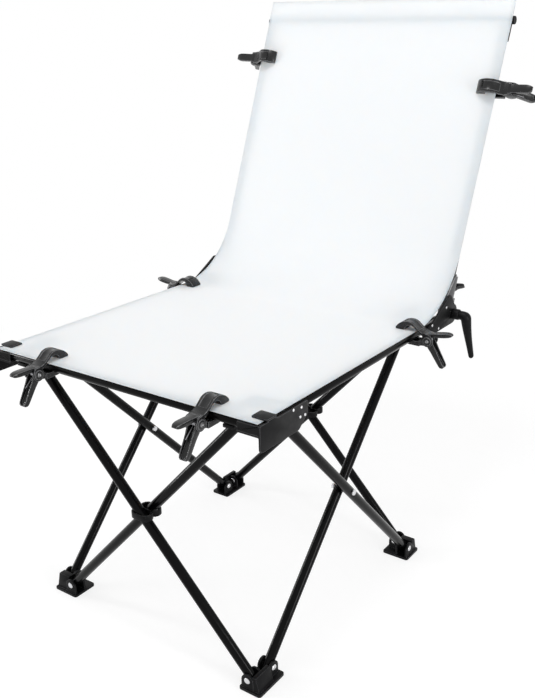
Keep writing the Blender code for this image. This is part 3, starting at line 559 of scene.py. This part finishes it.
def frame_tubes():
    end, level = RAIL_X + TUBE_R, RAIL_HEIGHT
    straight("rail_front", (-end, -FRONT_RAIL_Y, level), (end, -FRONT_RAIL_Y, level), "deck", SHIFT)
    first = -(FRONT_RAIL_Y - TUBE_R - CLEAR)
    top = BAR_REACH - ELBOW_DROP - CLEAR
    reach = UPRIGHT_X - ELBOW_ARM - CLEAR
    for name, sign in SIGNS.items():
        x = sign * RAIL_X
        straight(f"rail_{name}", (x, first, level), (x, SIDE_RAIL_END, level), "deck", SHIFT)
        x = sign * UPRIGHT_X
        straight(f"upright_{name}", (x, 0, UPRIGHT_START), (x, 0, top), "back_frame", BACK)
        add(f"elbow_{name}.moulding", elbow(sign, end), MOULDING, "back_frame",
            [f"elbow_{name}"], BACK)
    straight("crossbar", (-reach, 0, BAR_REACH), (reach, 0, BAR_REACH), "back_frame", BACK)


# Moulded and pressed fittings

def eased_node(kind, which, body, material, ending):
    """A node's own shape with its corners broken."""
    node = f"{kind}_{which}"
    mesh = eased(nodes[node].data, EDGES[kind])
    add(f"{node}.{ending}", mesh, material, body or node, [node])


def fittings():
    for corner in CORNERS:
        eased_node("foot", corner, None, MOULDING, "moulding")
        eased_node("hub", corner, None, MOULDING, "moulding")
    for side in ("front", "rear"):
        eased_node("coupler", side, None, MOULDING, "moulding")
    for side, sign in SIGNS.items():
        add(f"corner_plate_{side}.plate", corner_plate(side, sign), PLATE, "deck",
            [f"corner_plate_{side}"])
        eased_node("hinge_bracket", side, "deck", PLATE, "plate")
        eased_node("socket", side, "back_frame", SATIN, "plate")
        add(f"knob_{side}.moulding", knob(sign), MOULDING, f"knob_{side}",
            [f"knob_{side}"], BACK)
        add(f"lever_{side}.moulding", lever(sign), MOULDING, f"lever_{side}",
            [f"lever_{side}"], HINGE)
        add(f"lever_{side}.stud", stud(sign), ZINC, f"lever_{side}", (), HINGE)


def corner_plate(side, sign):
    """The front corner's plate, its skirt cut down a little so that the sheet's edge hides it."""
    low, high = SKIRT_CUT_Z
    span = (sign * (SKIRT_X - SKIRT_CUT_INSIDE), sign * (SKIRT_X + PLATE_T + SKIRT_CUT_OUTSIDE))
    start, end = SKIRT_CUT_Y, SKIRT_CUT_Y + SKIRT_CUT_LENGTH
    cut = slab([(start, low), (end, low), (end, high), (start, high)], span, "YZ")
    cut.transform(SHIFT)
    plate = combined([nodes[f"corner_plate_{side}"].data.copy()], [cut])
    return eased(plate, EDGES["corner_plate"], CUT_MERGE)


def knob(sign):
    """The wing screw behind a socket: a round boss on a screw, and two broad wings."""
    screw = turned((0, 0, 0), (0, 1, 0),
                   [(0.0, 0.0), (0.0, 0.0024), (0.008, 0.0024), (0.008, 0.0)], 20)
    boss = turned((0, 0, 0), (0, 1, 0),
                  [(0.0045, 0.0), (0.0045, 0.0062), (0.0056, 0.0073), (0.0225, 0.0073),
                   (0.0240, 0.0060), (0.0240, 0.0)], 32)
    half = [(0.0100, 0.0110), (0.0150, 0.0135), (0.0260, 0.0168), (0.0345, 0.0172),
            (0.0362, 0.0150), (0.0345, 0.0110), (0.0300, 0.0050)]
    outline = half + [(y, -z) for y, z in reversed(half)]
    wings = slab(rounded(outline), (-0.0040, 0.0040), "YZ")
    wings.transform(Matrix.Rotation(KNOB_TURN, 4, "Y"))
    mesh = eased(combined([boss, screw, wings]), EDGES["knob"], CUT_MERGE)
    mesh.transform(Matrix.Translation((sign * UPRIGHT_X, TUBE_R + CLEAR, KNOB_UP)))
    return mesh


def lever(sign):
    """A clamping lever about the hinge: a grooved hub and a handle that bends down and tapers."""
    hub_x = SKIRT_X + BRACKET_T + CLEAR
    path = [(0.004, 0.0, 0.0, 0.0088), (0.012, 0.0, -0.0004, 0.009),
            (0.0226, 0.0003, -0.0010, 0.0097), (0.0286, 0.0010, -0.0042, 0.0108),
            (0.0298, 0.0026, -0.013, 0.0104), (0.0310, 0.0048, -0.026, 0.0094),
            (0.0334, 0.0084, -0.046, 0.0079), (0.0362, 0.0122, -0.066, 0.0067),
            (0.0389, 0.0160, -0.0855, 0.0058), (0.0394, 0.0168, -0.0895, 0.0055),
            (0.0397, 0.0173, -0.0922, 0.0045), (0.0399, 0.0177, -0.0937, 0.0026),
            (0.0400, 0.0179, -0.0942, 0.0006)]
    points, radii = curved([(sign * (hub_x + x), y, z, r) for x, y, z, r in path])
    hub = turned((sign * hub_x, 0, 0), (sign * (hub_x + 1), 0, 0),
                 [(0.0, 0.0), (0.0, 0.0098), (0.0008, 0.0107), (0.0016, 0.011), (0.0052, 0.011),
                  (0.0056, 0.0104), (0.0064, 0.0104), (0.0068, 0.011), (0.0128, 0.011),
                  (0.0142, 0.0106), (0.015, 0.0096), (0.0152, 0.006), (0.0152, 0.0)])
    return combined([hub, swept(points, radii, 28, 0.92)])


def stud(sign):
    """The stud through the hinge with the nut on its inner end."""
    outer, inner = SKIRT_X + BRACKET_T + CLEAR + 0.002, UPRIGHT_X - EAR_INSET - CLEAR
    through = outer - inner
    rod = turned((sign * outer, 0, 0), (sign * inner, 0, 0),
                 [(0.0, 0.0), (0.0, 0.004), (through + 0.0022, 0.004), (through + 0.0028, 0.0034),
                  (through + 0.0028, 0.0)], 32)
    nut = turned((sign * inner, 0, 0), (sign * (inner - 1), 0, 0),
                 [(0.0, 0.0), (0.0, 0.0063), (0.0004, 0.0066), (0.0047, 0.0066), (0.0055, 0.0059),
                  (0.0055, 0.0)], 6)
    return combined([rod, nut])


def rivet(place, outward, radius, height):
    """A domed rivet head with a shallow dimple, its foot a little inside the face."""
    place, outward = Vector(place), Vector(outward)
    profile = [(-RIVET_ROOT, 0.0), (-RIVET_ROOT, radius), (height * 0.25, radius),
               (height * 0.55, radius * 0.93), (height * 0.85, radius * 0.72),
               (height, radius * 0.42), (height * 0.94, radius * 0.3), (height * 0.9, 0.0)]
    return turned(place, place + outward, profile, 32)


def rivets():
    kinds = (("foot", 1, FOOT_PIN_Z, FOOT_HEAD_R), ("hub", -1, TOP_PIN_Z, HUB_HEAD_R))
    for corner, name in enumerate(CORNERS):
        turn = Matrix.Rotation(math.radians(90 * corner), 4, "Z")
        for part, sign, height, radius in kinds:
            heads = []
            front = PLANES[corner] + sign * OFFSET
            side = PLANES[(corner + 1) % 4] - sign * OFFSET
            for face in (-1, 1):
                first = (PIN_HALF, -front + face * CLEVIS, height)
                second = (side + face * CLEVIS, -PIN_HALF, height)
                heads.append(rivet(first, (0, face, 0), radius, PIN_HEAD_T))
                heads.append(rivet(second, (face, 0, 0), radius, PIN_HEAD_T))
            add(f"{part}_{name}.rivets", joined(heads), ZINC, f"{part}_{name}", (),
                SHIFT @ turn)
    for name, sign in SIGNS.items():
        heads = []
        for thickness, places in ((PLATE_T, PLATE_RIVETS), (BRACKET_T, BRACKET_RIVETS)):
            face = sign * (SKIRT_X + thickness)
            for y, z in places:
                heads.append(rivet((face, y, z), (sign, 0, 0), RIVET_R, RIVET_T))
        add(f"deck_{name}.rivets", joined(heads), ZINC, "deck", (), SHIFT)


# Spring clamps, each about its pivot, with the jaw towards X and the handles away from it

def lifted(points, lift):
    """Points in X and Z, those outside the pivot raised as far as the upper handle rises outwards."""
    return [(x, z + max(-x, 0.0) * math.tan(lift)) for x, z in points]


def clamp_outlines():
    """The side views of the arch, the upper handle, its cheeks, the lower jaw and the lower arm."""
    grip = CLAMP_OUT
    pad = CLAMP_DROP + TUBE_R + CLEAR + SHEET_T + CLEAR
    seat = CLAMP_DROP - TUBE_R - CLEAR
    tip = grip + 0.035
    arch = [(tip, pad), (tip + 0.0015, pad + 0.003), (tip - 0.0035, pad + 0.0095),
            (tip - 0.011, pad + 0.0148), (tip - 0.020, pad + 0.0176), (tip - 0.0285, pad + 0.0176),
            (tip - 0.036, pad + 0.0150), (0.0225, 0.0229), (0.014, 0.0165), (0.004, 0.0138),
            (-0.008, 0.0136), (-0.008, 0.008), (0.003, 0.0082), (0.011, 0.0092), (0.019, 0.0152),
            (0.027, 0.0218), (grip + 0.003, pad + 0.0106), (grip + 0.010, pad + 0.0102),
            (grip + 0.015, pad + 0.0067), (grip + 0.018, pad)]
    handle = [(0.004, 0.0139), (-0.010, 0.0140), (-0.024, 0.0143), (-0.037, 0.0140),
              (-0.0445, 0.0125), (-0.0470, 0.0098), (-0.0447, 0.0072), (-0.034, 0.0064),
              (-0.018, 0.0066), (0.004, 0.0080)]
    cheek = [*arc((0, 0), 0.0115, 165, 405, 28), (0.0125, 0.0150), (-0.006, 0.0125)]
    jaw = [(grip + 0.028, seat), (grip + 0.0295, seat - 0.003), (grip + 0.024, seat - 0.0062),
           (grip + 0.008, seat - 0.0092), (0.016, seat - 0.0095), (0.016, seat + 0.0018),
           (0.023, seat)]
    core = [(grip + 0.022, seat - 0.001), (0.023, seat - 0.0002), (0.012, 0.000),
            *arc((0, 0), 0.007, 20, 160, 12), (-0.008, -0.001), (-0.0343, -0.0470),
            (-0.0333, -0.0503), (-0.0304, -0.0517), (-0.0265, -0.0508), (0.002, -0.011),
            (0.017, seat - 0.0090), (grip + 0.007, seat - 0.0085), (grip + 0.020, seat - 0.0055)]
    return arch, handle, cheek, jaw, core


def grip_keep(wide, narrow, start, end, tail, length, angle):
    """A tall slab that trims a handle: it narrows from start to end, and closes from tail to length."""
    side = []
    for step in range(GRIP_STEPS + 1):
        t = step / GRIP_STEPS
        side.append((start + (end - start) * t, narrow + (wide - narrow) * (1 - ease(t))))
    for step in range(GRIP_STEPS + 1):
        turn = math.pi / 2 * step / GRIP_STEPS
        side.append((tail + (length - tail) * math.sin(turn), narrow * math.cos(turn)))
    side[-1] = (length, 0.0)
    outline = [(-KEEP_REACH, -KEEP_SIDE), (start, -KEEP_SIDE)] + [(u, -h) for u, h in side]
    outline += [(u, h) for u, h in reversed(side[:-1])]
    outline += [(start, KEEP_SIDE), (-KEEP_REACH, KEEP_SIDE)]
    mesh = slab(outline, (-KEEP_REACH, KEEP_REACH), "XY")
    mesh.transform(Matrix.Rotation(-angle, 4, "Y"))
    return mesh


def crown_panel(arch):
    """The side view of the shallow panel that is sunk into the arch's crown."""
    crown = [Vector(p) for p in rounded(arch)[CROWN]]
    floor = []
    for before, here, after in zip(crown, crown[1:], crown[2:]):
        along = (after - before).normalized()
        floor.append(tuple(here + Vector((-along.y, along.x)) * PANEL_SINK))
    return floor + [(x, z + PANEL_TALL) for x, z in reversed(floor)]


def upper_arm(lift):
    """The arm that opens: an arched jaw with a sunk panel, a hollow handle, and cheeks with bosses."""
    arch, handle, cheek, _, _ = clamp_outlines()
    half = CLAMP_W / 2
    inside = half - CLAMP_WALL
    channel = [(-0.042, 0.0), (-0.041, 0.0102), (-0.014, 0.0102), (-0.012, 0.0090), (-0.012, 0.0)]
    keep = grip_keep(half + 0.0005, GRIP_HALF, -0.014, 0.010, 0.032, 0.0510, math.pi - lift)
    arm = combined([slab(rounded(arch), (-half, half), "XZ"),
                    slab(rounded(lifted(handle, lift)), (-inside, inside), "XZ")],
                   [slab(lifted(channel, lift), (-CHANNEL_HALF, CHANNEL_HALF), "XZ"),
                    slab(crown_panel(arch), (-PANEL_HALF, PANEL_HALF), "XZ")], [keep])
    shapes = [arm]
    for side in (-1, 1):
        shapes.append(slab(cheek, (side * (inside - CHEEK_LAP), side * (half - 0.0003)), "XZ"))
        shapes.append(turned((0, side * (half - 0.0015), 0), (0, side, 0),
                             [(0.0, 0.0), (0.0, 0.0082), (0.0026, 0.0082), (0.0026, 0.0)], 40))
    bore = CLAMP_PIN_R + CLEAR
    hole = turned((0, -CLAMP_W, 0), (0, CLAMP_W, 0), [(0, bore), (2 * CLAMP_W, bore)], 24)
    return eased(combined(shapes, [hole]), EDGES["clamp"], ARM_MERGE, ARM_ANGLE)


def lower_arm():
    """The arm that stays: a flat jaw below the rail and a handle with a trough for the spring's leg."""
    _, _, _, jaw, core = clamp_outlines()
    half = CLAMP_W / 2
    lug = half - CLAMP_WALL - CHEEK_LAP - CLEAR
    slot = COIL_TURNS * COIL_PITCH / 2 + 2 * WIRE_R + 0.0006
    angle = math.atan2(-0.0535, -0.0305)
    groove = [(0.009, -0.0065), (0.009, 0.010), (-0.012, 0.010), (-0.050, -0.0435),
              (-0.0345, -0.0535), (-0.005, -0.0125), (0.003, -0.0085)]
    trough = combined([slab(groove, (-slot, slot), "XZ")], (),
                      [grip_keep(0.03, slot + 0.0001, 0.0, 0.001, 0.049, 0.0578, angle)])
    arm = combined([slab(core, (-lug, lug), "XZ"), slab(jaw, (-half, half), "XZ")], [trough],
                   [grip_keep(lug + 0.0005, GRIP_HALF, 0.008, 0.024, 0.050, 0.0640, angle)])
    return eased(arm, EDGES["clamp"], ARM_MERGE, ARM_ANGLE)


def pivot_pin():
    """The clamp's pivot: a tubular rivet with a rolled rim at each end."""
    out = CLAMP_W / 2 + 0.0014
    rim = [(0.0004, 0.0), (0.0004, 0.0011), (-0.0003, 0.0015), (-0.0006, 0.0023), (-0.0004, 0.0031),
           (0.0002, 0.0035), (0.0006, 0.0035), (0.0006, CLAMP_PIN_R)]
    profile = rim + [(2 * out - distance, radius) for distance, radius in reversed(rim)]
    return turned((0, -out, 0), (0, out, 0), profile, 32)


def spring_path(per_turn=26):
    """A torsion spring's wire: a leg to each arm, tangent to the coil between them."""
    full = 2 * math.pi
    ends = (Vector((-0.0235, 0.0110)), Vector((-0.0185, -0.0225)))
    bends = []
    for end, side in zip(ends, (-1, 1)):
        bends.append(math.atan2(end.y, end.x) % full + side * math.acos(COIL_R / end.length))
    sweep = (bends[0] - bends[1]) % full + full * COIL_TURNS
    width = COIL_PITCH * sweep / full
    count = round(per_turn * sweep / full)
    coil = []
    for step in range(count + 1):
        angle = bends[0] - sweep * step / count
        across = width * (step / count - 0.5)
        coil.append((COIL_R * math.cos(angle), across, COIL_R * math.sin(angle)))
    first, last = (ends[0].x, -width / 2, ends[0].y), (ends[1].x, width / 2, ends[1].y)
    leg = [tuple(Vector(first).lerp(Vector(coil[0]), t / 5)) for t in range(5)]
    tail = [tuple(Vector(coil[-1]).lerp(Vector(last), t / 5)) for t in range(1, 6)]
    return leg + coil + tail


def clamps():
    lower, pin = lower_arm(), pivot_pin()
    path = spring_path()
    spring = swept(path, [WIRE_R] * len(path), 10)
    quarter = math.pi / 2
    side_x, front_y = RAIL_X + CLAMP_OUT, -FRONT_RAIL_Y - CLAMP_OUT
    level, drop = RAIL_HEIGHT - CLAMP_DROP, CLAMP_DROP
    # Name, body of the lower arm, frame, place, turn, and degrees that the upper handle is lifted
    rows = (
        ("front_left", "deck", SHIFT, (-0.171, front_y, level), (0, 0, quarter), 1),
        ("front_right", "deck", SHIFT, (0.198, front_y, level), (0, 0, quarter), 1),
        ("side_left", "deck", SHIFT, (-side_x, 0.193, level), (0, 0, 0), 9),
        ("side_right", "deck", SHIFT, (side_x, 0.193, level), (0, 0, math.pi), 9),
        ("back_left", "back_frame", BACK, (-side_x, drop, 0.510), (quarter, 0, 0), 4),
        ("back_right", "back_frame", BACK, (side_x, drop, 0.458), (-quarter, 0, math.pi), 4),
    )
    lifts = sorted({row[-1] for row in rows})
    uppers = {degrees: upper_arm(math.radians(degrees)) for degrees in lifts}
    for name, body, base, place, turn, lift in rows:
        matrix = base @ Matrix.Translation(place) @ Euler(turn).to_matrix().to_4x4()
        node = f"clamp_{name}"
        add(f"{node}_upper.arm", uppers[lift].copy(), CLAMP, f"{node}_upper",
            [f"{node}_upper"], matrix)
        add(f"{node}_lower.arm", lower.copy(), CLAMP, body, [f"{node}_lower"], matrix)
        add(f"{node}_pivot.rivet", pin.copy(), STEEL, body, (), matrix)
        wire = add(f"{node}_spring.wire", spring.copy(), SPRING, None,
                   [f"{node}_spring"], matrix)
        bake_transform(wire)


# Sheet

def sheet_lines():
    """The sheet's rear face as points and normals in Y and Z, from the front edge to the top."""
    away = TUBE_R + CLEAR
    reach = (SHEET_LOW - HINGE_Z - away * math.sin(LEAN)) / math.cos(LEAN)
    corner_y = HINGE_Y + reach * math.sin(LEAN) - away * math.cos(LEAN)
    turn = math.pi / 2 - LEAN
    tangent = SWEEP_R * math.tan(turn / 2)
    table_end = corner_y - tangent
    rows = []
    for step in range(TABLE_STEPS + 1):
        y = SHEET_FRONT + (table_end - SHEET_FRONT) * step / TABLE_STEPS
        rows.append((y, SHEET_LOW, 0.0, 1.0))
    for step in range(1, SWEEP_STEPS + 1):
        a = turn * step / SWEEP_STEPS
        rows.append((table_end + SWEEP_R * math.sin(a), SHEET_LOW + SWEEP_R - SWEEP_R * math.cos(a),
                     -math.sin(a), math.cos(a)))
    y, z = rows[-1][:2]
    for step in range(1, BACK_STEPS + 1):
        s = (SHEET_TOP_REACH - reach - tangent) * step / BACK_STEPS
        rows.append((y + s * math.sin(LEAN), z + s * math.cos(LEAN), -math.cos(LEAN), math.sin(LEAN)))
    return rows, table_end, (y, z)


def sheet_dip(row, y, table_end):
    """How far the sheet's middle hangs between its sides at a row, on the table, sweep or back."""
    if row <= TABLE_STEPS:
        along = (y + FRONT_RAIL_Y) / (table_end + FRONT_RAIL_Y)
        return SHEET_SAG * ease(along / SAG_RISE) * ease((SAG_END - along) / SAG_FALL)
    row -= TABLE_STEPS
    if row <= SWEEP_STEPS:
        along = row / SWEEP_STEPS
        sag = SHEET_SAG * ease((SAG_END - 1) / SAG_FALL) * (1 - ease(along / SAG_FADE))
        return sag + BACK_BOW * ease((along - BOW_START) / BOW_RISE)
    along = (row - SWEEP_STEPS) / BACK_STEPS
    rise = ease((along + 1 - BOW_START) / BOW_RISE)
    return BACK_BOW * rise * ease((BOW_END - along) / BOW_FALL)


def sheet_mesh():
    rows, table_end, sweep_end = sheet_lines()
    columns = [-SHEET_W / 2 + SHEET_W * k / SHEET_COLUMNS for k in range(SHEET_COLUMNS + 1)]
    wide, length = len(columns), len(rows)
    low, high = [], []
    for i, (y, z, ny, nz) in enumerate(rows):
        dip = sheet_dip(i, y, table_end)
        for k, x in enumerate(columns):
            edge = i in (0, length - 1) or k in (0, wide - 1)
            rim = SHEET_T * RIM_SHARE if edge else 0.0
            drop = -dip * max(0.0, 1 - (x / (RAIL_X - TUBE_R)) ** 2) ** 2
            back, face = drop + rim, drop + SHEET_T - rim
            low.append((x, y + ny * back, z + nz * back))
            high.append((x, y + ny * face, z + nz * face))
    top = len(low)
    faces = []
    for i in range(length - 1):
        for k in range(wide - 1):
            a, d = i * wide + k, (i + 1) * wide + k
            b, c = a + 1, d + 1
            faces.append((d, c, b, a))
            faces.append((a + top, b + top, c + top, d + top))
    loop = list(range(wide)) + [i * wide + wide - 1 for i in range(1, length)]
    loop += [(length - 1) * wide + k for k in range(wide - 2, -1, -1)]
    loop += [i * wide for i in range(length - 2, 0, -1)]
    for one, two in zip(loop, loop[1:] + loop[:1]):
        faces.append((one, two, two + top, one + top))
    return mesh_of(low + high, faces), table_end, sweep_end


def sheet():
    mesh, table_end, (end_y, end_z) = sheet_mesh()
    mesh.transform(SHIFT)
    mesh.materials.append(SHEET)
    smooth(mesh, SHEET_SMOOTH)
    obj = bpy.data.objects.new("sweep_sheet", mesh)
    bpy.context.scene.collection.objects.link(obj)
    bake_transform(obj)
    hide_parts("sheet_table", "sheet_sweep", "sheet_back")


# Stage, light and camera

def seen(tree):
    """1 for what the camera, gloss and glass see, and 0 for the light that falls on the object."""
    path = tree.nodes.new("ShaderNodeLightPath")
    shown = path.outputs["Is Camera Ray"]
    for ray in ("Is Glossy Ray", "Is Transmission Ray"):
        either = tree.nodes.new("ShaderNodeMath")
        either.operation = "MAXIMUM"
        tree.links.new(shown, either.inputs[0])
        tree.links.new(path.outputs[ray], either.inputs[1])
        shown = either.outputs["Value"]
    return shown


def plain(tree, kind, socket, value):
    """A simple shader with one of its values set."""
    node = tree.nodes.new(kind)
    node.inputs[socket].default_value = value
    return node


def mixed(tree, factor, first, second):
    node = tree.nodes.new("ShaderNodeMixShader")
    tree.links.new(factor, node.inputs["Fac"])
    tree.links.new(first, node.inputs[1])
    tree.links.new(second, node.inputs[2])
    return node.outputs["Shader"]


def backdrop():
    """A world that lights the object evenly and is white where it is seen."""
    world = bpy.data.worlds.new("studio")
    bpy.context.scene.world = world
    world.use_nodes = True
    tree = world.node_tree
    tree.nodes.clear()
    sides = []
    for strength in (WORLD_LIGHT, 1.0):
        node = plain(tree, "ShaderNodeBackground", "Strength", strength)
        node.inputs["Color"].default_value = (1.0, 1.0, 1.0, 1.0)
        sides.append(node.outputs["Background"])
    out = tree.nodes.new("ShaderNodeOutputWorld")
    tree.links.new(mixed(tree, seen(tree), *sides), out.inputs["Surface"])


def floor_surface():
    """A pale floor that keeps the object's shadow and fades to white away from it."""
    material = bpy.data.materials.new("pale_floor")
    material.use_nodes = True
    tree = material.node_tree
    tree.nodes.clear()
    grey, shade = (
        plain(tree, "ShaderNodeBsdfDiffuse", "Color", (level, level, level, 1.0)).outputs["BSDF"]
        for level in (FLOOR_GREY, FLOOR_SHADE))
    glow, white = (
        plain(tree, "ShaderNodeEmission", "Strength", strength).outputs["Emission"]
        for strength in (FLOOR_GLOW, 1.0))
    near = tree.nodes.new("ShaderNodeAddShader")
    tree.links.new(shade, near.inputs[0])
    tree.links.new(glow, near.inputs[1])
    away = tree.nodes.new("ShaderNodeVectorMath")
    away.operation = "LENGTH"
    place = tree.nodes.new("ShaderNodeTexCoord")
    tree.links.new(place.outputs["Object"], away.inputs[0])
    far = tree.nodes.new("ShaderNodeMapRange")
    far.interpolation_type = "SMOOTHSTEP"
    far.inputs["From Min"].default_value = SHADE_NEAR
    far.inputs["From Max"].default_value = SHADE_FAR
    tree.links.new(away.outputs["Value"], far.inputs["Value"])
    shown = mixed(tree, far.outputs["Result"], near.outputs["Shader"], white)
    out = tree.nodes.new("ShaderNodeOutputMaterial")
    tree.links.new(mixed(tree, seen(tree), grey, shown), out.inputs["Surface"])
    return material


def stage():
    backdrop()
    h = FLOOR_HALF
    mesh = mesh_of([(-h, -h, 0), (h, -h, 0), (h, h, 0), (-h, h, 0)], [(0, 1, 2, 3)])
    mesh.materials.append(floor_surface())
    floor = bpy.data.objects.new("floor", mesh)
    bpy.context.scene.collection.objects.link(floor)
    floor.location.z = FLOOR_Z


def lamp(name, place, aim, size, power):
    data = bpy.data.lights.new(name, "AREA")
    data.shape = "RECTANGLE"
    data.size, data.size_y = size
    data.energy = power
    obj = bpy.data.objects.new(name, data)
    bpy.context.scene.collection.objects.link(obj)
    obj.location = place
    obj.rotation_euler = (Vector(aim) - Vector(place)).to_track_quat("-Z", "Y").to_euler()


def lights():
    lamp("top_softbox", place=(0.1, -0.5, 2.9), aim=(0, 0, 0.5), size=(0.8, 0.6), power=20.0)
    lamp("right_strip", place=(2.6, -0.5, 0.7), aim=(0, 0, 0.4), size=(0.28, 1.8), power=30.0)
    lamp("left_strip", place=(-2.4, -0.9, 0.7), aim=(0, 0, 0.4), size=(0.28, 1.8), power=30.0)


def camera():
    forward = Vector((math.sin(YAW) * math.cos(PITCH), math.cos(YAW) * math.cos(PITCH),
                      -math.sin(PITCH)))
    right = Vector((math.cos(YAW), -math.sin(YAW), 0))
    up = right.cross(forward)
    turned_right = right * math.cos(ROLL) + up * math.sin(ROLL)
    turned_up = up * math.cos(ROLL) - right * math.sin(ROLL)
    data = bpy.data.cameras.new("camera")
    data.sensor_width = SENSOR
    data.lens = SENSOR * FOCAL / IMAGE_HEIGHT
    data.shift_x = -CENTRE_X / IMAGE_HEIGHT
    data.shift_y = CENTRE_Y / IMAGE_HEIGHT
    obj = bpy.data.objects.new("camera", data)
    bpy.context.scene.collection.objects.link(obj)
    basis = Matrix((turned_right, turned_up, -forward)).transposed().to_4x4()
    obj.matrix_world = Matrix.Translation(SHIFT @ Vector(CAMERA_PLACE)) @ basis
    bpy.context.scene.camera = obj


camera()
stage()
lights()
legs()
frame_tubes()
fittings()
rivets()
clamps()
sheet()
for bolt in ("bolt_right", "bolt_left"):
    nodes[bolt].data.materials.clear()
    nodes[bolt].data.materials.append(ZINC)
bpy.context.scene.view_settings.view_transform = "Standard"
